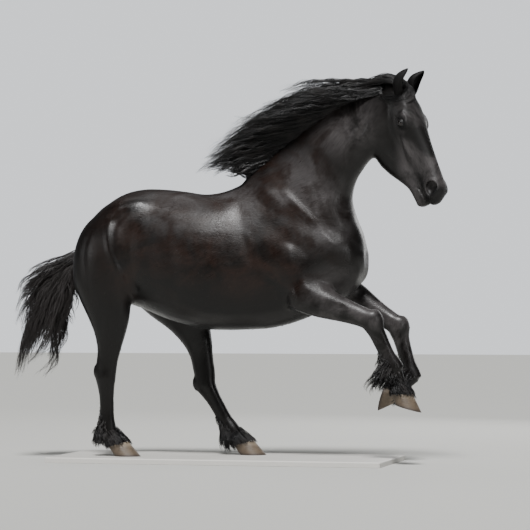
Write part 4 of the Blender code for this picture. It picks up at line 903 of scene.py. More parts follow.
def lying(path, tree, first=1, above=LYING):
    """Lifts the points of a path that would enter the skin until they lie on it."""
    out = list(path[:first])
    for point in path[first:]:
        spot, normal, face, far = tree.find_nearest(point)
        height = (point - spot).dot(normal)
        if height < above and far < 0.30:
            point = spot + normal * above
        out.append(point)
    return out


def read(mesh, what):
    """A mesh's points or normals as rows of three."""
    rows = np.empty(len(mesh.vertices) * 3)
    mesh.vertices.foreach_get(what, rows)
    return rows.reshape(-1, 3)


def to_head(points):
    """Points of the horse's frame in the head's own."""
    turn = np.array(head_matrix())
    return (points - turn[:3, 3]) @ turn[:3, :3]


def from_head(points):
    """Points of the head's frame in the horse's."""
    turn = np.array(head_matrix())
    return points @ turn[:3, :3].T + turn[:3, 3]


def refine(made, chosen, soften=2):
    """Splits the faces in a region into four and rounds them."""
    centres = np.empty(len(made.data.polygons) * 3)
    made.data.polygons.foreach_get("center", centres)
    picked = np.nonzero(chosen(centres.reshape(-1, 3)))[0]
    bm = bmesh.new()
    bm.from_mesh(made.data)
    bm.faces.ensure_lookup_table()
    edges = {edge for k in picked for edge in bm.faces[k].edges}
    bmesh.ops.subdivide_edges(bm, edges=list(edges), cuts=1, use_grid_fill=True)
    inner = chosen(np.array([vert.co for vert in bm.verts]))
    verts = [vert for vert, inside in zip(bm.verts, inner) if inside]
    for _ in range(soften):
        bmesh.ops.smooth_vert(bm, verts=verts, factor=0.4, use_axis_x=True, use_axis_y=True,
                              use_axis_z=True)
    bm.to_mesh(made.data)
    bm.free()
    return made


def all_relief(points, normals, body, head, front=(), top=()):
    """How far the strokes drawn in each view lift every point."""
    on_head, head_normals = to_head(points), normals @ np.array(head_matrix())[:3, :3]
    lift = np.zeros(len(points))
    for spots, aims, relief in ((points, normals, body), (on_head, head_normals, head)):
        for side, path, radius, height in relief:
            for out in {"both": (-1, 1), "right": (-1,), "left": (1,)}[side]:
                lift += press(spots, aims, 0, 2, out * aims[:, 1], curved(path), radius, height)
    ahead = normals[:, 0] * (points[:, 0] > 0.4)
    for path, radius, height in front:
        lift += press(points, normals, 1, 2, ahead, curved(path), radius, height)
    for path, radius, height in top:
        lift += press(points, normals, 0, 1, normals[:, 2], curved(path), radius, height)
    return lift


def curved(path):
    """A stroke's path with its corners rounded off."""
    if len(path) < 3:
        return path
    return resample([(k, *point) for k, point in enumerate(path)], 4 * len(path))[:, 1:]


def spread_out(made, values, rounds):
    """Evens a value out over the mesh, so that worked-in forms run softly into the skin."""
    ends = np.empty(len(made.data.edges) * 2, int)
    made.data.edges.foreach_get("vertices", ends)
    start, end = ends.reshape(-1, 2).T
    count = np.bincount(ends, minlength=len(values))
    for _ in range(rounds):
        total = np.bincount(start, values[end], len(values))
        total += np.bincount(end, values[start], len(values))
        values = 0.5 * values + 0.5 * total / np.maximum(count, 1)
    return values


def raise_by(made, lift):
    points, normals = read(made.data, "co"), read(made.data, "normal")
    made.data.vertices.foreach_set("co", (points + normals * lift[:, None]).ravel())
    made.data.update()


def near_head(points, reach=0.0):
    """True on the head and just behind it."""
    spots = to_head(points)
    jaw = (spots[:, 0] > -0.04 - reach) & (spots[:, 0] < 0.80) & (np.abs(spots[:, 1]) < 0.16)
    return jaw & (spots[:, 2] > -0.34) & (spots[:, 2] < 0.12)


def near_face(points):
    """True round the eyes, the nostrils and the lips."""
    spots = to_head(points)
    width = np.abs(spots[:, 1])
    eye = ((spots[:, 0] - 0.248) / 0.062) ** 2 + ((spots[:, 2] + 0.012) / 0.055) ** 2 < 1
    return (eye & (width > 0.055)) | (spots[:, 0] > 0.575) & (spots[:, 0] < 0.80) & (
        spots[:, 2] > -0.17)


def mouth_path():
    """Where the lips meet, on the right, in the head's frame: x and z."""
    return [(row[1], row[2]) for row in resample([(k, *p) for k, p in enumerate(MOUTH_LINE)], 9)]


def work_lips(made):
    points, normals = read(made.data, "co"), read(made.data, "normal")
    spots, aims = to_head(points), normals @ np.array(head_matrix())[:3, :3]
    path = mouth_path()
    facing = np.clip(1.4 * np.abs(aims[:, 1]) + 1.2 * aims[:, 0], 0.0, 1.0)
    lift = press(spots, aims, 0, 2, facing, path, LIP_RADIUS, LIP_GROOVE)
    for shift in (-0.011, 0.010):
        lip = [(x, z + shift) for x, z in path]
        lift += press(spots, aims, 0, 2, facing, lip, 0.011, LIP_SWELL)
    raise_by(made, lift)


def work_nostrils(made):
    """Sinks each nostril and rolls its rim out."""
    points = read(made.data, "co")
    spots = to_head(points)
    turn = np.array(Matrix.Rotation(NOSTRIL_TILT, 3, "Y"))
    for out in (-1, 1):
        away = (spots - np.array((NOSTRIL[0], -out * NOSTRIL[1], NOSTRIL[2]))) @ turn
        narrow = 1.0 - 0.16 * np.clip(away[:, 0] / NOSTRIL_RADII[0], -1, 1)
        ring = np.sqrt((away[:, 0] / NOSTRIL_RADII[0]) ** 2
                       + (away[:, 2] / (NOSTRIL_RADII[2] * 0.86 * narrow)) ** 2)
        near = (np.abs(away[:, 1]) < 0.040) & (out * spots[:, 1] > 0)
        hole = np.clip(1.0 - ring**2, 0.0, 1.0) ** 0.6 * near
        rim = np.exp(-(((ring - 1.22) / 0.20) ** 2)) * near
        spots[:, 1] += out * (NOSTRIL_RIM * rim - NOSTRIL_DEPTH * hole)
        spots[:, 0] -= 0.45 * NOSTRIL_DEPTH * hole
    made.data.vertices.foreach_set("co", from_head(spots).ravel())
    made.data.update()


def lid_height(along, above):
    """Half height of the eye's opening along its line; the upper lid is more arched."""
    share = np.clip(along / EYE_HALF_OPENING, -1, 1)
    return EYE_LIFT * (1 - 0.35 * share**2) * np.where(above > 0, 1.0, 0.80)


def work_eyes(made):
    """Lays the lids on the eyeballs and opens them."""
    spots = to_head(read(made.data, "co"))
    for side in ("right", "left"):
        look, ahead, up = (np.array(v) for v in eye_axes(side))
        away = spots - np.array(mirrored(EYE_CENTRE, side))
        x, y, depth = away @ ahead, away @ up, away @ look
        ring = np.sqrt((x / EYE_HALF_OPENING) ** 2 + (y / lid_height(x, y)) ** 2)
        far = np.hypot(x, y)
        ball = np.sqrt(np.clip(EYE_RADIUS**2 - far**2, 0.0, None))
        roll = 0.0007 * np.exp(-(((ring - 1.55) / 0.28) ** 2)) * (y > 0)
        crease = -0.0022 * np.exp(-(((ring - 2.15) / 0.30) ** 2)) * np.where(y > 0, 1.0, 0.6)
        lid = ball + 0.0022 + roll
        blend = np.clip((2.3 - ring) / 1.1, 0, 1) * np.clip((0.97 - far / EYE_RADIUS) / 0.22, 0, 1)
        laid = depth + (lid - depth) * blend + crease
        laid = np.where(far < EYE_RADIUS, np.maximum(laid, ball + 0.0016), laid)
        laid = np.where(ring < 1.0, ball - 0.0050, laid)
        near = (depth > 0) & (ring < 3.2)
        spots += np.where(near, laid - depth, 0.0)[:, None] * look
    made.data.vertices.foreach_set("co", from_head(spots).ravel())
    made.data.update()


def eased_joins(made):
    """Smooths the hide where the legs run into the body, most at the middle of each place."""
    ends = np.empty(len(made.data.edges) * 2, int)
    made.data.edges.foreach_get("vertices", ends)
    start, end = ends.reshape(-1, 2).T
    points = read(made.data, "co")
    count = np.maximum(np.bincount(ends, minlength=len(points)), 1)[:, None]
    for centre, radius, rounds in EASED:
        away = np.linalg.norm(points - centre, axis=1) / radius
        share = 0.5 * np.clip(1.0 - away**2, 0.0, 1.0)[:, None]
        for _ in range(rounds):
            total = np.stack([np.bincount(start, points[end, k], len(points))
                              + np.bincount(end, points[start, k], len(points))
                              for k in range(3)], axis=1)
            points = points + share * (total / count - points)
    made.data.vertices.foreach_set("co", points.ravel())
    made.data.update()


def thinned(made):
    """Thins the hide's mesh where it is smooth, most on the body and not at all round the eyes."""
    points = read(made.data, "co")
    ease = np.where(near_face(points), GIVEN_UP[2], np.where(near_head(points), *GIVEN_UP[1::-1]))
    group = made.vertex_groups.new(name="ease")
    for level in np.unique(ease):
        group.add(np.nonzero(ease == level)[0].tolist(), float(level), "REPLACE")
    thin = made.modifiers.new("thin", "DECIMATE")
    thin.ratio = KEPT_FACES
    thin.vertex_group = "ease"
    applied(made)
    made.vertex_groups.clear()


def make_skin():
    """The whole hide: one closed surface with the muscles, bones, folds and face worked in."""
    bm = bmesh.new()
    add_trunk(bm)
    add_neck(bm)
    add_head(bm)
    for side in ("right", "left"):
        add_fore_leg(bm, FORE_JOINTS[side])
        add_hind_leg(bm, side)
    skin = mesh_object("hide", bm)
    fuse = skin.modifiers.new("fuse", "REMESH")
    fuse.mode = "VOXEL"
    fuse.voxel_size = VOXEL
    applied(skin)
    group = skin.vertex_groups.new(name="soft")
    levels = np.round(softness(read(skin.data, "co")) * 20).astype(int)
    for level in np.unique(levels):
        group.add(np.nonzero(levels == level)[0].tolist(), float(level) / 20, "REPLACE")
    smooth = skin.modifiers.new("smooth", "SMOOTH")
    smooth.factor = 0.5
    smooth.iterations = round(2 * (BLEND_LENGTH / VOXEL) ** 2)
    smooth.vertex_group = "soft"
    applied(skin)
    skin.vertex_groups.clear()
    eased_joins(skin)
    points, normals = read(skin.data, "co"), read(skin.data, "normal")
    lift = all_relief(points, normals, BODY_RELIEF, HEAD_RELIEF, BREAST_RELIEF, BACK_RELIEF)
    fine = all_relief(points, normals, FINE_RELIEF, ())
    lift = RELIEF_SHARE * spread_out(skin, lift, 24) + spread_out(skin, fine, 4)
    raise_by(skin, lift - COAT_DEPTH)
    refine(skin, near_head)
    refine(skin, near_face, 1)
    points, normals = read(skin.data, "co"), read(skin.data, "normal")
    raise_by(skin, spread_out(skin, all_relief(points, normals, (), FINE_HEAD), 8))
    work_lips(skin)
    work_nostrils(skin)
    work_eyes(skin)
    thinned(skin)
    skin.data.shade_smooth()
    return skin


def cut_at_hooves(skin):
    """Takes the hide off below each coronet."""
    bm = bmesh.new()
    bm.from_mesh(skin.data)
    for joints in (*FORE_JOINTS.values(), *HIND_JOINTS.values()):
        rim = hoof_rim(joints, 0.0)
        toe, side, up = hoof_frame(joints)
        ahead = (rim[0] - rim[HOOF_POINTS // 2]).normalized()
        out = ahead.cross(side)
        middle = (rim[0] + rim[HOOF_POINTS // 2]) / 2
        below = [
            vert for vert in bm.verts
            if (vert.co - middle).length < 0.16 and (vert.co - middle).dot(out) < -0.006
        ]
        bmesh.ops.delete(bm, geom=below, context="VERTS")
    bm.to_mesh(skin.data)
    bm.free()


def unwrapped(skin):
    """A thinned copy of the hide laid out flat, as a search tree with its flat places."""
    flat = skin.copy()
    flat.data = skin.data.copy()
    bpy.context.scene.collection.objects.link(flat)
    thin = flat.modifiers.new("thin", "DECIMATE")
    thin.ratio = 0.05
    applied(flat)
    bpy.context.view_layer.objects.active = flat
    for other in bpy.context.selected_objects:
        other.select_set(False)
    flat.select_set(True)
    bpy.ops.object.mode_set(mode="EDIT")
    bpy.ops.mesh.select_all(action="SELECT")
    bpy.ops.uv.smart_project(angle_limit=math.radians(66), island_margin=0.004)
    bpy.ops.object.mode_set(mode="OBJECT")
    mesh = flat.data
    layer = np.empty(len(mesh.loops) * 2)
    mesh.uv_layers.active.data.foreach_get("uv", layer)
    layer = layer.reshape(-1, 2)
    places = np.array([layer[list(face.loop_indices)].mean(0) for face in mesh.polygons])
    tree = BVHTree.FromPolygons([v.co for v in mesh.vertices],
                                [tuple(face.vertices) for face in mesh.polygons])
    bpy.data.objects.remove(flat)
    return tree, places


def flat_places(layout, roots):
    """Where roots lie on the unwrapped hide."""
    tree, places = layout
    found = [tree.find_nearest(Vector(root))[2] for root in roots]
    return places[found]


def unit(rows):
    return rows / np.maximum(np.linalg.norm(rows, axis=-1, keepdims=True), 1e-9)


def comb(guides, broads, count, spread, chance, points, shorten=0.3, wave=(0.004, 0.09),
         clump=0.6, wild=0.012, bunch_size=9, bunch_width=0.006):
    """Hairs round each guide, in bunches that each gather to a point, as rows of paths."""
    locks, steps = guides.shape[:2]
    total = locks * count
    lock = np.repeat(np.arange(locks), count)
    bunches = max(1, count // bunch_size)
    bunch = lock * bunches + chance.integers(0, bunches, total)
    theirs = chance.random((locks * bunches, 5, 1))[bunch]
    own = chance.random((total, 4, 1))
    u = np.linspace(0.0, 1.0, points)[None, :]
    reach = 1.0 - shorten * (0.75 * theirs[:, 0] ** 1.5 + 0.25 * own[:, 0])
    at = u * reach * (steps - 1)
    below = np.clip(at.astype(int), 0, steps - 2)
    part = (at - below)[..., None]
    rows = lock[:, None]
    path = guides[rows, below] * (1 - part) + guides[rows, below + 1] * part
    along = unit(np.gradient(path, axis=1))
    out = unit(np.cross(along, broads[lock][:, None, :]))
    side = np.cross(out, along)
    gather = 1.0 - clump * (u * reach) ** 1.2
    close = bunch_width * (1.0 - 0.93 * u**1.4)
    wide = spread[0] * gather * np.sqrt(theirs[:, 1]) * np.cos(math.tau * theirs[:, 2])
    deep = spread[1] * gather * np.sqrt(theirs[:, 1]) * np.sin(math.tau * theirs[:, 2])
    wide = wide + close * np.sqrt(own[:, 1]) * np.cos(math.tau * own[:, 2])
    deep = deep + close * np.sqrt(own[:, 1]) * np.sin(math.tau * own[:, 2])
    length = np.linalg.norm(np.diff(guides, axis=1), axis=2).sum(1)[lock][:, None]
    turns = u * reach * length / (wave[1] * (0.75 + 0.6 * theirs[:, 4]))
    phase = math.tau * theirs[:, 3] + 0.5 * own[:, 3]
    grow = wave[0] * (0.4 + 1.1 * theirs[:, 4]) * np.minimum(1.0, 2.0 * u)
    wide = wide + grow * np.sin(math.tau * turns + phase)
    deep = deep + 0.6 * grow * np.cos(math.tau * turns + phase)
    path = path + side * wide[..., None] + out * deep[..., None]
    stray = unit(chance.normal(size=(total, 1, 3))) * chance.random((total, 1, 1)) ** 5
    return path + stray * (wild * u**2)[..., None] * length[..., None]


def eased(path, rounds=4):
    """A path with its kinks smoothed, its ends kept."""
    rows = np.array([tuple(point) for point in path])
    for _ in range(rounds):
        rows[1:-1] = 0.5 * rows[1:-1] + 0.25 * (rows[:-2] + rows[2:])
    return rows


def hair_mesh(name, paths, thickness, places, look):
    """Three-sided tapered hairs as one mesh, each with its patch of the unwrapped hide."""
    total, steps = paths.shape[:2]
    share = np.linspace(0.0, 1.0, steps)
    radii = thickness[:, None] * np.maximum(1.0 - share**2.2, 0.10)[None, :]
    along = unit(np.gradient(paths, axis=1))
    side = unit(np.cross(along, np.array((0.10, 0.99, 0.07))))
    up = np.cross(side, along)
    verts = np.empty((total, steps, 3, 3))
    for k in range(3):
        turn = math.tau * k / 3
        ring = side * math.cos(turn) + up * math.sin(turn)
        verts[:, :, k] = paths + ring * radii[..., None]
    index = np.arange(total * steps * 3).reshape(total, steps, 3)
    low, high = index[:, :-1], index[:, 1:]
    walls = np.stack([low, np.roll(low, -1, 2), np.roll(high, -1, 2), high], axis=-1)
    walls = walls.reshape(-1, 4)
    caps = np.concatenate([index[:, 0, ::-1], index[:, -1]]).reshape(-1, 3)
    loops = np.concatenate([walls.ravel(), caps.ravel()])
    starts = np.concatenate([np.arange(len(walls)) * 4, len(walls) * 4 + np.arange(len(caps)) * 3])
    mesh = bpy.data.meshes.new(name)
    mesh.vertices.add(total * steps * 3)
    mesh.vertices.foreach_set("co", verts.ravel())
    mesh.loops.add(len(loops))
    mesh.loops.foreach_set("vertex_index", loops)
    mesh.polygons.add(len(starts))
    mesh.polygons.foreach_set("loop_start", starts)
    mesh.polygons.foreach_set("use_smooth", np.ones(len(starts), bool))
    mesh.update(calc_edges=True)
    hair, rest = np.divmod(loops, steps * 3)
    step, corner = np.divmod(rest, 3)
    across = np.array((corner / 3.0, step / (steps - 1.0))) * UV_PATCH
    layer = mesh.uv_layers.new(name="OFBake")
    layer.data.foreach_set("uv", (places[hair] + across.T).ravel())
    made = bpy.data.objects.new(name, mesh)
    bpy.context.scene.collection.objects.link(made)
    return finish_piece(made, look)


def finish_piece(made, look, place=SET):
    """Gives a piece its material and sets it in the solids' frame."""
    made.data.materials.clear()
    made.data.materials.append(look)
    made.matrix_world = place @ made.matrix_world
    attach(made, "root")
    return made


def guide_rows(paths):
    return np.array([[tuple(point) for point in path] for path in paths])


def mane_guides(tree, layer, count, chance):
    """The lie of the mane's locks in one layer, blown back from the whole crest."""
    tips = resample(MANE_TIPS, 101)
    root_y, tip_y, lift = MANE_LAYERS[layer][1:4]
    paths = []
    for k in range(count):
        share = (k + chance.uniform(0.1, 0.9)) / count
        root = crest_point(MANE_ROOTS[0] + (MANE_ROOTS[1] - MANE_ROOTS[0]) * share)
        root += Vector((0, root_y, -0.006 - 0.4 * abs(root_y)))
        tip = tips[round(share * 100)]
        reach = chance.uniform(0.86, 1.07)
        end = Vector((root.x + (tip[1] - root.x) * reach, root.y + tip_y,
                      root.z + (tip[2] - root.z) * reach + chance.uniform(-0.030, 0.022)))
        end.y += chance.uniform(-0.035, 0.035)
        if layer == 0 and chance.random() < 0.3:
            end.z += chance.uniform(0.02, 0.07)
            lift = 0.25
        drop = -0.30 - 0.35 * share + chance.uniform(-0.25, 0.25)
        wave = (MANE_WAVE[0] * chance.uniform(0.7, 1.5), MANE_WAVE[1] * chance.uniform(0.7, 1.3))
        path = swept(root, (-0.9, tip_y, lift), end, (-0.9, 0.3 * tip_y, drop), wave,
                     chance.uniform(0, math.tau), (0.3, 0.1, 0.95), 22)
        paths.append(eased(lying(path, tree, 1, 0.008)))
    return np.array(paths)


def make_mane(tree, layout, look):
    made = []
    for layer, count in enumerate(MANE_LAYER_LOCKS):
        chance = np.random.default_rng(40 + layer)
        guides = mane_guides(tree, layer, count, chance)
        broads = np.tile(np.array((0.2, 0.25, 1.0)), (count, 1))
        paths = comb(guides, broads, MANE_STRANDS, (0.026, 0.012), chance, MANE_POINTS,
                     0.34, (0.0075, 0.11), 0.30, 0.05, 9, 0.0080)
        places = flat_places(layout, paths[:, 0])
        thickness = HAIR_RADIUS * chance.uniform(0.7, 1.25, len(paths))
        piece = hair_mesh(f"mane_{layer + 1}", paths, thickness, places, look)
        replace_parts(piece, "neck")
        made.append(piece)
    return made


def tail_guides(tree, count, chance):
    """The lie of the tail's locks, which leave the dock all round and fall in a full plume."""
    spine, tips = resample(DOCK, 51), resample(TAIL_TIPS, 101)
    paths, broads = [], []
    for k in range(count):
        order = (k * 0.618) % 1.0
        share = (k + 0.5) / count
        tip = tips[round(share * 100)]
        row = spine[round(50 * (0.04 + 0.72 * order))]
        lean = math.sin(math.tau * k * 0.382)
        root = Vector((row[1], lean * 0.35 * row[4], row[3]))
        low = 0.45 < share < 0.80
        stray = 0.075 if low else 0.030
        end = Vector((tip[1] + chance.uniform(-stray, stray), lean * TAIL_SPREAD,
                      tip[2] + chance.uniform(-0.03, 0.12 if low else 0.08)))
        leave = Vector((-0.8 + 0.35 * share, 0.6 * lean, -0.60 - 0.35 * share))
        arrive = Vector((-0.25 + 0.15 * share, 0.2 * lean, -1.0))
        if 0.62 < share < 0.74:
            arrive = Vector((-0.8, 0.0, -0.45))
        wave = (TAIL_WAVE[0] * chance.uniform(1.0, 1.9), TAIL_WAVE[1] * chance.uniform(0.9, 1.4))
        path = swept(root, leave, end, arrive, wave, chance.uniform(0, math.tau),
                     (0.75, 0.25 * lean, 0.2), 24)
        paths.append(eased(lying(path, tree, 1, 0.010)))
        broads.append((lean, math.sqrt(1.0 - lean * lean), 0.2 * lean))
    return np.array(paths), np.array(broads)


def make_tail(tree, layout, look):
    chance = np.random.default_rng(71)
    guides, broads = tail_guides(tree, TAIL_HAIR_LOCKS, chance)
    paths = comb(guides, broads, TAIL_STRANDS, (0.034, 0.018), chance, TAIL_POINTS, 0.36,
                 (0.0100, 0.16), 0.15, 0.04, 9, 0.0105)
    past = np.minimum(paths[..., 0] - TAIL_END, 0.0)
    paths[..., 0] -= 0.4 * past
    order = chance.permutation(len(paths))
    made = []
    for k, chosen in enumerate(np.array_split(order, 3)):
        some = paths[chosen]
        thickness = HAIR_RADIUS * chance.uniform(0.7, 1.25, len(some))
        places = flat_places(layout, some[:, 0])
        piece = hair_mesh(f"tail_hair_{k + 1}", some, thickness, places, look)
        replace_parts(piece, "tail")
        made.append(piece)
    return made


def make_dock(look):
    """The tail's fleshy root, hidden in its hair."""
    rows = resample(DOCK, 20)
    rings = []
    for k, (share, x, y, z, radius) in enumerate(rows):
        after, before = rows[min(k + 1, 19)], rows[max(k - 1, 0)]
        along = Vector((after[1] - before[1], 0, after[3] - before[3])).normalized()
        side = Vector((0, 1, 0))
        size = radius * (0.85 - 0.55 * share)
        rings.append(section((x, y, z), side, along.cross(side), size, size, size, count=20))
    bm = bmesh.new()
    add_loft(bm, rings)
    made = mesh_object("dock", bm)
    made.data.shade_smooth()
    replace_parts(finish_piece(made, look), "tail")


def fetlock_guides(joints, kind, tree, chance):
    """Locks that leave the back and sides of the fetlock and hang over the heel."""
    fetlock = np.array(joints["fetlock"])
    along = unit(fetlock - np.array(joints["hock" if kind == "hind" else "knee"]))
    across = np.array((0.0, 1.0, 0.0))
    back = unit(np.cross(across, along))
    down = unit(np.array(joints["coronet"]) - fetlock)
    reach, fall = FEATHER_REACH[kind]
    guides = []
    for _ in range(FEATHER_LOCKS):
        swing = float(np.clip(chance.normal(0.0, 0.85), -2.2, 2.2))
        out = back * math.cos(swing) + across * math.sin(swing)
        rear = max(math.cos(swing), 0.0)
        height = 0.065 - (0.110 + 0.100 * rear) * float(chance.beta(1.2, 1.8))
        start = fetlock + along * min(height, 0.0) + down * max(height, 0.0)
        spot, normal = tree.find_nearest(Vector(start + out * 0.05))[:2]
        spot = np.array(spot - normal * 0.003)
        size = (0.024 + reach * rear**1.3) * chance.uniform(0.55, 1.05)
        full = math.exp(-(((height + 0.010) / 0.055) ** 2))
        size *= 0.15 + 0.85 * full
        drop = (0.022 + fall * (0.35 + 0.65 * rear)) * (0.35 + 0.65 * full) * chance.uniform(0.6, 1.1)
        end = spot + out * size + (along * 0.5 + down * 0.5) * drop
        leave = out * (1.1 * size + 0.012 * full) + along * 0.5 * drop
        arrive = down * drop - out * 0.4 * size
        path = swept(spot, leave, end, arrive, (0.004, 0.06), chance.uniform(0, math.tau), across, 12)
        guides.append([tuple(point) for point in path])
    return guides


def coronet_guides(joints, tree, chance):
    """A fringe that starts above the hoof's rim and lies over its top."""
    rim = hoof_rim(joints, 0.0)
    lower = hoof_rim(joints, 0.36)
    middle = sum(rim, Vector()) / len(rim)
    guides = []
    for k in range(FRINGE_LOCKS):
        place = k * len(rim) // FRINGE_LOCKS
        edge, end = rim[place], lower[place]
        out = (edge - middle).normalized()
        above = edge + (edge - end) * chance.uniform(1.0, 2.8)
        start = tree.find_nearest(above)[0]
        bend = edge + out * chance.uniform(0.010, 0.020)
        drift = (rim[place - 1] - edge).normalized() * float(chance.normal(0.0, 0.009))
        end = edge + (end - edge) * chance.uniform(0.0, 0.9) + out * chance.uniform(0.003, 0.012) + drift
        path = [start * (1 - u) ** 2 + bend * (2 * u * (1 - u)) + end * u * u
                for u in np.linspace(0.0, 1.0, 12)]
        guides.append([tuple(point) for point in path])
    return guides


def make_feather(kind, side, tree, layout, look):
    """Long hair behind a fetlock and the fringe over its hoof."""
    joints = (FORE_JOINTS if kind == "fore" else HIND_JOINTS)[side]
    chance = np.random.default_rng(90 + len(kind) + 7 * len(side) + (kind == "fore"))
    guides = fetlock_guides(joints, kind, tree, chance) + coronet_guides(joints, tree, chance)
    guides = np.array(guides)
    axis = np.array(joints["coronet"]) - np.array(joints["fetlock"])
    broads = unit(np.cross(guides[:, -1] - guides[:, 0], np.tile(axis, (len(guides), 1))))
    paths = comb(guides, broads, FEATHER_STRANDS, (0.012, 0.007), chance, FEATHER_POINTS, 0.35,
                 (0.0030, 0.05), 0.3, 0.10, 4, 0.0045)
    paths[..., 2] = np.maximum(paths[..., 2], 0.004)
    thickness = 0.70 * HAIR_RADIUS * chance.uniform(0.7, 1.2, len(paths))
    places = flat_places(layout, paths[:, 0])
    piece = hair_mesh(f"feather_{kind}_{side}", paths, thickness, places, look)
    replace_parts(piece, f"{kind}leg_{side}_lower")


def forelock_guides(tree, chance):
    """Locks from between the ears: most sweep round the near ear, some lie down the forehead."""
    place = head_matrix()
    guides = []
    for k in range(FORELOCK_HAIR_LOCKS):
        slide = chance.uniform(-0.5, 0.5) * 0.075
        rows = FORELOCK[: 4 + k % 4] if k % 4 else FORELOCK_DOWN
        path = []
        for j, row in enumerate(resample([(i, *p) for i, p in enumerate(rows)], 16)):
            fade = j / 15
            point = Vector(row[1:4]) + Vector((slide, 0.2 * slide, 0.3 * slide)) * (1 - 0.4 * fade)
            spot, normal = tree.find_nearest(place @ point)[:2]
            lift = -0.003 if j == 0 else 0.002 + 0.005 * math.sin(math.pi * fade) * (k % 3) / 2
            path.append(spot + normal * lift)
        guides.append(eased(path, 3))
    return np.array(guides)


def poll_guides(tree, chance):
    """Locks over the poll, from behind the ears back onto the crest."""
    place = head_matrix()
    guides = []
    for k in range(POLL_LOCKS):
        across = chance.uniform(-0.085, 0.075)
        start = place @ Vector((chance.uniform(-0.04, 0.06), across, 0.050))
        start = tree.find_nearest(start)[0]
        end = crest_point(chance.uniform(5.2, 6.8)) + Vector((0, across - 0.035, 0.022))
        path = swept(start, (-0.5, 0, 0.55), end, (-0.9, -0.2, -0.25), (0.006, 0.12),
                     chance.uniform(0, math.tau), (0.1, 0.9, 0.2), 16)
        guides.append(eased(lying(path, tree, 1, 0.006), 3))
    return np.array(guides)


def make_forelock(tree, layout, look):
    chance = np.random.default_rng(17)
    up = np.array(head_matrix().to_3x3() @ Vector((0.8, 0.0, 0.6)))
    for name, guides, strands, spread, node in (
        ("forelock", forelock_guides(tree, chance), FORELOCK_STRANDS, (0.020, 0.006), "head"),
        ("poll_hair", poll_guides(tree, chance), POLL_STRANDS, (0.015, 0.008), "neck"),
    ):
        broads = np.tile(up, (len(guides), 1))
        paths = comb(guides, broads, strands, spread, chance, 16, 0.60, (0.0040, 0.13), 0.20,
                     0.14, 6, 0.006)
        places = flat_places(layout, paths[:, 0])
        thickness = 0.8 * HAIR_RADIUS * chance.uniform(0.7, 1.2, len(paths))
        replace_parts(hair_mesh(name, paths, thickness, places, look), node)


def coat_lie(points):
    """The way the short coat points at each place."""
    x, z = points[:, 0], points[:, 2]
    barrel, neck, down = (np.array(v) for v in ((-0.88, 0, -0.47), (-0.55, 0, -0.83), (0, 0, -1.0)))
    face = np.array(head_matrix())[:3, 0]
    leg = np.clip((0.95 - z) / 0.25, 0, 1)[:, None]
    on_neck = np.clip((0.427 * (x - 0.02) + 0.904 * (z - 1.55)) / 0.15 + 0.3, 0, 1)[:, None]
    on_head = near_head(points).astype(float)[:, None]
    flow = barrel * (1 - on_neck) + neck * on_neck
    flow = flow * (1 - leg) + down * leg
    return unit(flow * (1 - on_head) + face * on_head)


def tuft_places(skin, count, chance, weights):
    """Random places on the hide, as many as asked, with their normals."""
    mesh = skin.data
    centres, normals = np.empty(len(mesh.polygons) * 3), np.empty(len(mesh.polygons) * 3)
    areas = np.empty(len(mesh.polygons))
    mesh.polygons.foreach_get("center", centres)
    mesh.polygons.foreach_get("normal", normals)
    mesh.polygons.foreach_get("area", areas)
    centres, normals = centres.reshape(-1, 3), normals.reshape(-1, 3)
    load = areas * weights(centres, normals)
    picked = chance.choice(len(areas), count, p=load / load.sum())
    jitter = chance.uniform(-0.5, 0.5, (count, 3)) * np.sqrt(areas[picked])[:, None]
    spots = centres[picked] + jitter - normals[picked] * (jitter * normals[picked]).sum(1)[:, None]
    return spots, normals[picked]


def edge_weight(points, normals):
    """More tufts where the coat breaks the outline: under the belly, jaw and throat, breast and thighs."""
    x, z = points[:, 0], points[:, 2]
    under = np.clip(-normals[:, 2], 0, 1)
    ridge = np.clip(normals[:, 2], 0, 1) * (z > 1.2)
    ends = np.abs(normals[:, 0])
    leg = (z < 0.75) * 1.2
    away = (~near_head(points)).astype(float)
    return (0.04 + 1.2 * under**2 + 0.3 * ridge**3 + 0.6 * ends**3 + 0.4 * leg) * away + 0.01


def add_fur(name, made, count, seed, weights, lie, size, stand, layout, look, nodes):
    """Short hairs spread over a surface that follow a lie and rise a little from it."""
    chance = np.random.default_rng(seed)
    spots, normals = tuft_places(made, count, chance, weights)
    flow = lie(spots)
    flow = unit(flow - normals * (flow * normals).sum(1)[:, None])
    flow = unit(flow + chance.normal(0, 0.16, flow.shape))
    length = (size[0] * chance.uniform(0.6, 1.2, count))[:, None, None]
    rise = chance.uniform(*stand, count)[:, None, None] * normals[:, None]
    u = np.linspace(0.0, 1.0, 3)[None, :, None]
    base = spots - normals * 0.0015
    paths = base[:, None] + length * (flow[:, None] * u + rise * np.sin(1.9 * u))
    paths[..., 2] = np.maximum(paths[..., 2], 0.006)
    thickness = size[1] * chance.uniform(0.7, 1.1, count)
    piece = hair_mesh(name, paths, thickness, flat_places(layout, spots), look)
    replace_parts(piece, *nodes)


def make_tufts(skin, layout, look):
    """Short tufts that lie along the coat and show where it breaks the form."""
    for k in range(2):
        add_fur(f"short_coat_{k + 1}", skin, TUFTS, 130 + k, edge_weight, coat_lie,
                (TUFT_LENGTH, TUFT_RADIUS), (0.03, 0.13), layout, look, FLESH)


FLESH = (
    "torso", "neck", "head",
    "foreleg_right_upper", "foreleg_right_lower", "foreleg_left_upper", "foreleg_left_lower",
    "hindleg_right_upper", "hindleg_right_lower", "hindleg_left_upper", "hindleg_left_lower",
)


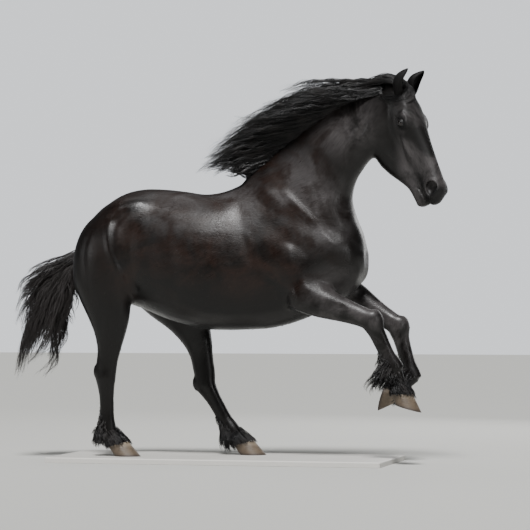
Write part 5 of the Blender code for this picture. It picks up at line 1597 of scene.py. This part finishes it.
def make_ears(look, fur_look, layout):
    """Both ear cups, thin at their edges, with short fur of even length spread evenly over them."""
    for side in ("right", "left"):
        cup = ear(f"ear_cup_{side}", side)
        curve = cup.modifiers.new("curve", "SUBSURF")
        curve.levels = curve.render_levels = 1
        applied(cup)
        cup.data.shade_smooth()
        along = np.array(head_matrix().to_3x3()
                         @ (mirrored(EAR_TIP, side) - mirrored(EAR_ROOT, side)).normalized())
        add_fur(f"ear_fur_{side}", cup, EAR_HAIRS, 150 + len(side), lambda p, n: np.ones(len(p)),
                lambda p: np.tile(along, (len(p), 1)), EAR_HAIR, (0.02, 0.22), layout, fur_look,
                (f"ear_{side}",))
        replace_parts(finish_piece(cup, look), f"ear_{side}")


def make_eyes(look, rim_look, lash_look, layout):
    """Eyeballs in their own frame, so that the iris is drawn round their middle, and the lids' rims."""
    for side in ("right", "left"):
        look_way, ahead, up = eye_axes(side)
        turn = Matrix((ahead, up, look_way)).transposed()
        if turn.determinant() < 0:
            turn = Matrix((ahead, -up, look_way)).transposed()
        place = head_matrix() @ Matrix.Translation(mirrored(EYE_CENTRE, side)) @ turn.to_4x4()
        bm = bmesh.new()
        bmesh.ops.create_uvsphere(bm, u_segments=64, v_segments=48, radius=EYE_RADIUS)
        for vert in bm.verts:
            across = math.hypot(vert.co.x, vert.co.y)
            if vert.co.z > 0 and across < IRIS:
                vert.co.z += 0.0012 * (1 - (across / IRIS) ** 2)
        ball = mesh_object(f"eyeball_{side}", bm)
        ball.data.shade_smooth()
        ball.matrix_world = place
        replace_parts(finish_piece(ball, look), f"eye_{side}")
        make_lid(side, place, rim_look)
        make_lashes(side, place, lash_look, layout)


def lid_point(angle, lift):
    """A point of the lids' edge in the eye's own frame."""
    x = EYE_HALF_OPENING * math.cos(angle)
    y = float(lid_height(x, math.sin(angle))) * math.sin(angle)
    reach = EYE_RADIUS + lift
    return Vector((x, y, math.sqrt(max(reach**2 - x * x - y * y, 0.0))))


def make_lid(side, place, look):
    """The lids' rims: a soft roll that lies on the eyeball, thicker above."""
    bm = bmesh.new()
    rings = []
    for k in range(72):
        angle = math.tau * k / 72
        point, after = lid_point(angle, 0.0012), lid_point(angle + 0.02, 0.0012)
        along = (after - point).normalized()
        out = (point - Vector((0, 0, 0))).normalized()
        side_way = along.cross(out).normalized()
        thick = LID_RIM * (1.15 if math.sin(angle) > 0 else 0.85)
        point = point + side_way * (0.7 * thick)
        rings.append(section(point, side_way, out, thick * 1.3, thick * 0.8, thick * 0.8, count=14))
    rows = [[bm.verts.new(p) for p in ring] for ring in rings]
    for low, high in zip(rows, rows[1:] + rows[:1]):
        for i in range(14):
            j = (i + 1) % 14
            bm.faces.new((low[i], low[j], high[j], high[i]))
    rim = mesh_object(f"lid_rim_{side}", bm)
    rim.data.shade_smooth()
    rim.matrix_world = place
    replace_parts(finish_piece(rim, look), "head")


def make_lashes(side, place, look, layout):
    """Lashes of the upper lid, bent down and out."""
    chance = np.random.default_rng(7 + len(side))
    paths = []
    for k in range(LASHES):
        angle = math.radians(28 + 124 * (k + chance.uniform(0, 1)) / LASHES)
        point = lid_point(angle, 0.002)
        out = point.normalized()
        tip = point + out * LASH_LENGTH * chance.uniform(0.7, 1.1)
        tip += Vector((0.10 * math.cos(angle), -0.35, 0)) * LASH_LENGTH
        middle = (point + tip) / 2 + Vector((0, 0.25, 0.1)) * LASH_LENGTH * 0.6
        path = [place @ (point * (1 - u) ** 2 + middle * 2 * u * (1 - u) + tip * u * u)
                for u in (0.0, 0.25, 0.5, 0.75, 1.0)]
        paths.append(path)
    rows = guide_rows(paths)
    places = flat_places(layout, rows[:, 0])
    thickness = np.full(len(rows), 0.00045)
    piece = hair_mesh(f"lashes_{side}", rows, thickness, places, look)
    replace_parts(piece, "head")


def make_hoof(name, joints, look):
    """A hoof with a rounded wall, faint growth rings, a rasped edge and a sunk sole."""
    toe, side, up = hoof_frame(joints)
    turn = Matrix((toe, side, up)).transposed().to_4x4()
    place = Matrix.Translation(joints["coronet"]) @ turn
    back = place.inverted()
    bm = bmesh.new()
    rings = []
    for k in range(26):
        share = k / 25
        rows = hoof_rim(joints, share, 0.0006 * (1 + math.sin(share * 55.0)))
        rings.append([back @ p for p in rows])
    for share, trim in ((1.0, 0.004), (1.0, 0.012), (0.93, 0.016), (0.88, 0.030)):
        rings.append([back @ p for p in hoof_rim(joints, share, trim)])
    add_loft(bm, rings)
    made = mesh_object(name, bm)
    made.data.shade_smooth()
    made.matrix_world = place
    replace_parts(finish_piece(made, look), name)


def hex_colour(code):
    """An sRGB hex value as linear RGBA."""
    shares = [int(code[k: k + 2], 16) / 255 for k in (1, 3, 5)]
    return (*(s / 12.92 if s < 0.04045 else ((s + 0.055) / 1.055) ** 2.4 for s in shares), 1.0)


def put(tree, kind, inputs=None, **settings):
    """Adds a node with its settings; an input that is a socket is linked and any other is set."""
    node = tree.nodes.new(kind)
    for name, value in settings.items():
        setattr(node, name, value)
    for key, value in (inputs or {}).items():
        if isinstance(value, bpy.types.NodeSocket):
            tree.links.new(value, node.inputs[key])
        else:
            node.inputs[key].default_value = value
    return node


def new_material(name, **values):
    """A material, its node tree and its shader with constant values set on the shader's own sockets."""
    made = bpy.data.materials.new(name)
    made.use_nodes = True
    tree = made.node_tree
    shader = tree.nodes["Principled BSDF"]
    for key, value in values.items():
        shader.inputs[key.replace("_", " ")].default_value = value
    return made, tree, shader


def band(tree, value, low, high):
    """A mask that rises smoothly from 0 to 1 between two values."""
    made = put(tree, "ShaderNodeMapRange", {"Value": value, "From Min": low, "From Max": high},
               interpolation_type="SMOOTHSTEP")
    return made.outputs["Result"]


def blended(tree, share, first, second):
    made = put(tree, "ShaderNodeMix", {0: share, 2: first, 3: second}, data_type="FLOAT")
    return made.outputs[0]


def tinted(tree, share, first, second):
    made = put(tree, "ShaderNodeMix", {0: share, 6: first, 7: second}, data_type="RGBA")
    return made.outputs[2]


def hairs_along(tree, where, degrees):
    """Short fur as fine streaks along one lie: hairs about 25 mm long, drawn 3 mm wide so that they show."""
    laid = put(tree, "ShaderNodeMapping",
               {"Vector": where, "Rotation": (0.0, math.radians(degrees), 0.0),
                "Scale": (0.050, 0.0040, 0.0040)}, vector_type="TEXTURE")
    streaks = put(tree, "ShaderNodeTexNoise",
                  {"Vector": laid.outputs[0], "Scale": 1.0, "Detail": 2.0, "Roughness": 0.55})
    return streaks.outputs[0]


def coat_parts(tree):
    """Where the coat lies, as x and z of the horse, and masks of its head, neck and legs."""
    where = put(tree, "ShaderNodeTexCoord").outputs["Object"]
    split = put(tree, "ShaderNodeSeparateXYZ", {0: where})
    x, z = split.outputs[0], split.outputs[2]
    leg = band(tree, z, 0.86, 0.68)
    slope = put(tree, "ShaderNodeMath", {0: x, 1: 0.47, 2: z}, operation="MULTIPLY_ADD")
    neck = band(tree, slope.outputs[0], 1.72, 1.84)
    ahead = band(tree, x, 0.90, 0.98)
    high = band(tree, z, 1.22, 1.34)
    head = put(tree, "ShaderNodeMath", {0: ahead, 1: high}, operation="MULTIPLY").outputs[0]
    return where, x, z, leg, neck, head


def near_points(tree, where, points, low, high):
    """A mask that is 1 close to any of some points and fades out beyond them."""
    masks = []
    for point in points:
        far = put(tree, "ShaderNodeVectorMath", {0: where, 1: tuple(point)}, operation="DISTANCE")
        masks.append(band(tree, far.outputs["Value"], high, low))
    mask = masks[0]
    for other in masks[1:]:
        mask = put(tree, "ShaderNodeMath", {0: mask, 1: other}, operation="MAXIMUM").outputs[0]
    return mask


def coat_colour(tree, where, x, z, head):
    """Black with the faint brown that sun gives the barrel and the flank; painted sheen makes the face and
    shoulder greyer, painted shade darkens round the eyes and in the nostrils, and the poll and muzzle are
    darker.
    """
    patches = put(tree, "ShaderNodeTexNoise",
                  {"Vector": where, "Scale": 5.0, "Detail": 4.0, "Roughness": 0.6,
                   "Distortion": 0.5}).outputs[0]
    belly = put(tree, "ShaderNodeMath",
                {0: band(tree, x, -0.95, -0.45), 1: band(tree, x, 0.75, 0.25)},
                operation="MULTIPLY")
    sides = put(tree, "ShaderNodeMath",
                {0: belly.outputs[0], 1: band(tree, z, 0.80, 1.00)}, operation="MULTIPLY")
    faded = put(tree, "ShaderNodeMath",
                {0: sides.outputs[0], 1: band(tree, patches, 0.32, 0.70)}, operation="MULTIPLY")
    # Painted sheen: greyer patches on the shoulder, neck's base, barrel and the whole face, with ragged edges
    # from the noise, stand in for the soft shine of light on the coat
    shoulder = near_points(tree, where, PAINTED_SHEEN_SPOTS, 0.06, 0.30)
    sheen_places = put(tree, "ShaderNodeMath", {0: shoulder, 1: head}, operation="MAXIMUM").outputs[0]
    painted_sheen = put(tree, "ShaderNodeMath",
                {0: sheen_places, 1: band(tree, patches, 0.64, 0.40)}, operation="MULTIPLY")
    black = tinted(tree, painted_sheen.outputs[0], hex_colour("#070504"), hex_colour("#3b3838"))
    coat = tinted(tree, faded.outputs[0], black, hex_colour("#20140f"))
    # Painted shade round the eyes and inside the nostrils, with the darker poll and muzzle
    for middle, inner, outer in PAINTED_SHADE_AND_DARK_PLACES:
        spots = [head_matrix() @ mirrored(middle, side) for side in ("right", "left")]
        coat = tinted(tree, near_points(tree, where, spots, inner, outer), coat, hex_colour("#040303"))
    return coat


def summer_coat():
    """Short sleek black fur. Its oiled hairs lie flat, so it takes a broad soft shine along the muscles, with
    painted sheen in the greyer patches of its colour.
    """
    made, tree, shader = new_material(
        "sleek_black_fur", IOR=1.50, Specular_IOR_Level=0.30, Sheen_Weight=0.05,
        Sheen_Roughness=0.40)
    shader.inputs["Sheen Tint"].default_value = hex_colour("#d8dce2")
    where, x, z, leg, neck, head = coat_parts(tree)
    streaks = hairs_along(tree, where, -26.6)
    for mask, degrees in ((neck, -53.0), (leg, -90.0), (head, 68.0)):
        streaks = blended(tree, mask, streaks, hairs_along(tree, where, degrees))
    clumps = put(tree, "ShaderNodeTexNoise",
                 {"Vector": where, "Scale": 38.0, "Detail": 3.0, "Roughness": 0.6}).outputs[0]
    damp = put(tree, "ShaderNodeTexNoise",
               {"Vector": where, "Scale": 6.5, "Detail": 4.0, "Roughness": 0.62,
                "Distortion": 0.6}).outputs[0]
    fine = put(tree, "ShaderNodeMapRange",
               {"Value": blended(tree, 0.45, streaks, clumps), "From Min": 0.25, "From Max": 0.75,
                "To Min": -0.07, "To Max": 0.07}).outputs[0]
    gloss = put(tree, "ShaderNodeMath",
                {0: fine, 1: put(tree, "ShaderNodeMapRange",
                                 {"Value": damp, "From Min": 0.36, "From Max": 0.64,
                                  "To Min": 0.29, "To Max": 0.43}).outputs[0]})
    ridges = put(tree, "ShaderNodeMath", {0: clumps, 1: 0.35, 2: streaks}, operation="MULTIPLY_ADD")
    rough = put(tree, "ShaderNodeBump",
                {"Height": ridges.outputs[0], "Strength": 0.60, "Distance": 0.0014})
    shades = put(tree, "ShaderNodeMapRange",
                 {"Value": streaks, "From Min": 0.3, "From Max": 0.7, "To Min": 0.75,
                  "To Max": 1.25}).outputs[0]
    colour = put(tree, "ShaderNodeMix", {0: 1.0, 6: coat_colour(tree, where, x, z, head), 7: shades},
                 data_type="RGBA", blend_type="MULTIPLY").outputs[2]
    tree.links.new(colour, shader.inputs["Base Color"])
    face = blended(tree, head, gloss.outputs[0], 0.52)
    tree.links.new(face, shader.inputs["Roughness"])
    tree.links.new(rough.outputs[0], shader.inputs["Normal"])
    return made


def tuft_coat():
    """The same fur on the small tufts, without the streaks that would be finer than a tuft."""
    made, tree, shader = new_material(
        "sleek_black_tufts", IOR=1.50, Sheen_Weight=0.04, Sheen_Roughness=0.45, Roughness=0.44)
    where, x, z, leg, neck, head = coat_parts(tree)
    tree.links.new(coat_colour(tree, where, x, z, head), shader.inputs["Base Color"])
    return made


def long_hair():
    """Mane, tail and feather: coarse glossy black hair that sun has tinged brown in places, and the tail painted
    lighter as a painted sheen for the shine of its hair.
    """
    made, tree, shader = new_material(
        "coarse_black_hair", IOR=1.50, Sheen_Weight=0.04, Sheen_Roughness=0.5)
    where = put(tree, "ShaderNodeTexCoord").outputs["Object"]
    patches = put(tree, "ShaderNodeTexNoise",
                  {"Vector": where, "Scale": 9.0, "Detail": 4.0, "Roughness": 0.6}).outputs[0]
    x = put(tree, "ShaderNodeSeparateXYZ", {0: where}).outputs[0]
    # Sun-tinged brown in patches, and painted sheen: hair behind x -0.70, most of all the tail, is painted
    # lighter for the shine of its hair
    faded = put(tree, "ShaderNodeMath",
                {0: band(tree, patches, 0.42, 0.72), 1: band(tree, x, -0.70, -1.00)},
                operation="MAXIMUM").outputs[0]
    tree.links.new(tinted(tree, faded, hex_colour("#070607"), hex_colour("#292524")),
                   shader.inputs["Base Color"])
    gloss = put(tree, "ShaderNodeMapRange",
                {"Value": patches, "From Min": 0.3, "From Max": 0.7, "To Min": 0.34, "To Max": 0.50})
    tree.links.new(gloss.outputs[0], shader.inputs["Roughness"])
    return made


def ear_fur():
    """Fine dense fur of the ears, matt and darker than the face, with the nap 1 mm apart."""
    made, tree, shader = new_material(
        "fine_ear_fur", IOR=1.50, Specular_IOR_Level=0.20, Roughness=0.62)
    where = put(tree, "ShaderNodeTexCoord").outputs["Object"]
    nap = put(tree, "ShaderNodeTexNoise",
              {"Vector": where, "Scale": 600.0, "Detail": 3.0}).outputs[0]
    rough = put(tree, "ShaderNodeBump", {"Height": nap, "Strength": 0.40, "Distance": 0.0006})
    tree.links.new(tinted(tree, nap, hex_colour("#040303"), hex_colour("#0b0909")),
                   shader.inputs["Base Color"])
    tree.links.new(rough.outputs[0], shader.inputs["Normal"])
    return made


def bare_lid_skin():
    """Thin hairless skin of the lids' rims: dark, slightly moist, with fine wrinkles 1 mm apart."""
    made, tree, shader = new_material("bare_lid_skin", IOR=1.45, Roughness=0.42)
    where = put(tree, "ShaderNodeTexCoord").outputs["Object"]
    wrinkles = put(tree, "ShaderNodeTexNoise",
                   {"Vector": where, "Scale": 900.0, "Detail": 3.0}).outputs[0]
    rough = put(tree, "ShaderNodeBump", {"Height": wrinkles, "Strength": 0.35, "Distance": 0.0005})
    tree.links.new(tinted(tree, wrinkles, hex_colour("#080606"), hex_colour("#120e0d")),
                   shader.inputs["Base Color"])
    tree.links.new(rough.outputs[0], shader.inputs["Normal"])
    return made


def wet_eye():
    """A moist dark brown eye with a wide level pupil; the tear film gives it a hard bright glint."""
    made, tree, shader = new_material(
        "wet_dark_eye", IOR=1.38, Roughness=0.08, Coat_Weight=0.5, Coat_Roughness=0.02)
    where = put(tree, "ShaderNodeTexCoord").outputs["Object"]
    flat = put(tree, "ShaderNodeVectorMath", {0: where, 1: (1.0, 1.0, 0.0)}, operation="MULTIPLY")
    away = put(tree, "ShaderNodeVectorMath", {0: flat.outputs[0]}, operation="LENGTH").outputs[1]
    slot_shape = put(tree, "ShaderNodeVectorMath",
                     {0: where, 1: (1 / PUPIL[0], 1 / PUPIL[1], 0.0)}, operation="MULTIPLY")
    slot_away = put(tree, "ShaderNodeVectorMath", {0: slot_shape.outputs[0]},
                    operation="LENGTH").outputs[1]
    rays = put(tree, "ShaderNodeTexNoise",
               {"Vector": put(tree, "ShaderNodeVectorMath", {0: flat.outputs[0]},
                              operation="NORMALIZE").outputs[0], "Scale": 9.0, "Detail": 4.0})
    iris = tinted(tree, rays.outputs[0], hex_colour("#0c0705"), hex_colour("#1c100a"))
    ringed = tinted(tree, band(tree, away, 0.86 * IRIS, IRIS), iris, hex_colour("#0b0707"))
    seen = tinted(tree, band(tree, slot_away, 1.12, 0.92), ringed, hex_colour("#030304"))
    tree.links.new(seen, shader.inputs["Base Color"])
    return made


def hoof_horn():
    """Hoof wall: dull horn with growth rings about 6 mm apart and fine tubules down it, paler at the coronet."""
    made, tree, shader = new_material("hoof_horn", IOR=1.50)
    where = put(tree, "ShaderNodeTexCoord").outputs["Object"]
    height = put(tree, "ShaderNodeSeparateXYZ", {0: where}).outputs[2]
    spots = put(tree, "ShaderNodeTexNoise",
                {"Vector": where, "Scale": 30.0, "Detail": 4.0, "Roughness": 0.6}).outputs[0]
    tubules = put(tree, "ShaderNodeTexNoise",
                  {"Vector": put(tree, "ShaderNodeMapping",
                                 {"Vector": where, "Scale": (0.003, 0.003, 0.05)},
                                 vector_type="TEXTURE").outputs[0], "Scale": 1.0, "Detail": 2.0})
    rings = put(tree, "ShaderNodeTexWave",
                {"Vector": where, "Scale": 26.0, "Distortion": 1.2, "Detail": 2.0,
                 "Detail Scale": 1.0}, bands_direction="Z")
    horn = tinted(tree, spots, hex_colour("#3b322a"), hex_colour("#655746"))
    horn = tinted(tree, band(tree, height, -0.020, 0.012), horn, hex_colour("#857867"))
    horn = tinted(tree, band(tree, height, -0.046, -0.062), horn, hex_colour("#3a3029"))
    streaked = put(tree, "ShaderNodeMix",
                   {0: 0.5, 6: horn, 7: tubules.outputs[0]}, data_type="RGBA",
                   blend_type="OVERLAY").outputs[2]
    marks = put(tree, "ShaderNodeMath", {0: rings.outputs[1], 1: 0.6, 2: tubules.outputs[0]},
                operation="MULTIPLY_ADD")
    rough = put(tree, "ShaderNodeBump",
                {"Height": marks.outputs[0], "Strength": 0.35, "Distance": 0.0012})
    gloss = put(tree, "ShaderNodeMapRange", {"Value": spots, "To Min": 0.42, "To Max": 0.70})
    tree.links.new(streaked, shader.inputs["Base Color"])
    tree.links.new(gloss.outputs[0], shader.inputs["Roughness"])
    tree.links.new(rough.outputs[0], shader.inputs["Normal"])
    return made


def painted_board():
    """Satin off-white paint rolled on birch board, with a stipple about 2 mm across."""
    made, tree, shader = new_material("rolled_satin_paint", IOR=1.50)
    where = put(tree, "ShaderNodeTexCoord").outputs["Object"]
    stipple = put(tree, "ShaderNodeTexNoise",
                  {"Vector": where, "Scale": 500.0, "Detail": 2.0}).outputs[0]
    cloud = put(tree, "ShaderNodeTexNoise", {"Vector": where, "Scale": 3.0, "Detail": 4.0}).outputs[0]
    rough = put(tree, "ShaderNodeBump", {"Height": stipple, "Strength": 0.25, "Distance": 0.0004})
    gloss = put(tree, "ShaderNodeMapRange", {"Value": cloud, "To Min": 0.40, "To Max": 0.55})
    tree.links.new(tinted(tree, cloud, hex_colour("#bdbbb6"), hex_colour("#c8c6c1")),
                   shader.inputs["Base Color"])
    tree.links.new(gloss.outputs[0], shader.inputs["Roughness"])
    tree.links.new(rough.outputs[0], shader.inputs["Normal"])
    return made


def studio():
    """A pale floor and wide soft lights: one long one above, one in front and a low one behind."""
    made, tree, shader = new_material("studio_floor", Roughness=0.85)
    shader.inputs["Base Color"].default_value = hex_colour("#b8b8b4")
    bpy.ops.mesh.primitive_plane_add(size=60, location=(0, 0, -0.001))
    floor = bpy.context.object
    floor.name = "floor"
    floor.data.materials.append(made)
    world = bpy.data.worlds.new("soft_sky")
    world.use_nodes = True
    tree = world.node_tree
    seen = put(tree, "ShaderNodeLightPath").outputs["Is Camera Ray"]
    strength = blended(tree, seen, SKY_LIGHT, SKY_SEEN)
    sky = tree.nodes["Background"]
    sky.inputs["Color"].default_value = hex_colour("#e8ebef")
    tree.links.new(strength, sky.inputs["Strength"])
    bpy.context.scene.world = world
    sun = bpy.data.lights.new("daylight", "SUN")
    sun.energy = DAYLIGHT
    sun.angle = DAYLIGHT_WIDTH
    holder = bpy.data.objects.new("daylight", sun)
    holder.rotation_mode = "QUATERNION"
    holder.rotation_quaternion = (-Vector(DAYLIGHT_FROM)).to_track_quat("-Z", "Y")
    bpy.context.scene.collection.objects.link(holder)
    for name, place, target, size, power in LIGHTS:
        lamp = bpy.data.lights.new(name, "AREA")
        lamp.shape = "RECTANGLE"
        lamp.size, lamp.size_y = size
        lamp.energy = power
        holder = bpy.data.objects.new(name, lamp)
        holder.location = place
        aim = Vector(target) - Vector(place)
        holder.rotation_mode = "QUATERNION"
        holder.rotation_quaternion = aim.to_track_quat("-Z", "Y")
        bpy.context.scene.collection.objects.link(holder)


def camera():
    """The camera, level with the barrel and a little behind the horse's side."""
    lens = bpy.data.cameras.new("camera")
    lens.lens = LENS
    lens.sensor_width = 36.0
    lens.clip_end = 100.0
    holder = bpy.data.objects.new("camera", lens)
    holder.location = CAMERA
    holder.rotation_mode = "QUATERNION"
    holder.rotation_quaternion = (Vector(AIM) - Vector(CAMERA)).to_track_quat("-Z", "Y")
    bpy.context.scene.collection.objects.link(holder)
    bpy.context.scene.camera = holder


def main():
    coat, tufts, hair, on_ears = summer_coat(), tuft_coat(), long_hair(), ear_fur()
    lids, eye, horn = bare_lid_skin(), wet_eye(), hoof_horn()
    skin = make_skin()
    tree = surface_of(skin)
    cut_at_hooves(skin)
    layout = unwrapped(skin)
    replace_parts(finish_piece(skin, coat), *FLESH)
    skin.matrix_world = Matrix.Identity(4)
    make_tufts(skin, layout, tufts)
    skin.matrix_world = SET
    make_ears(on_ears, tufts, layout)
    make_eyes(eye, lids, hair, layout)
    make_mane(tree, layout, hair)
    make_forelock(tree, layout, hair)
    make_dock(hair)
    make_tail(tree, layout, hair)
    for kind, joints in (("fore", FORE_JOINTS), ("hind", HIND_JOINTS)):
        for side in ("right", "left"):
            make_feather(kind, side, tree, layout, hair)
            make_hoof(f"hoof_{kind}_{side}", joints[side], horn)
    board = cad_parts["stand_base"]
    board.data.materials.clear()
    board.data.materials.append(painted_board())
    studio()
    camera()


main()
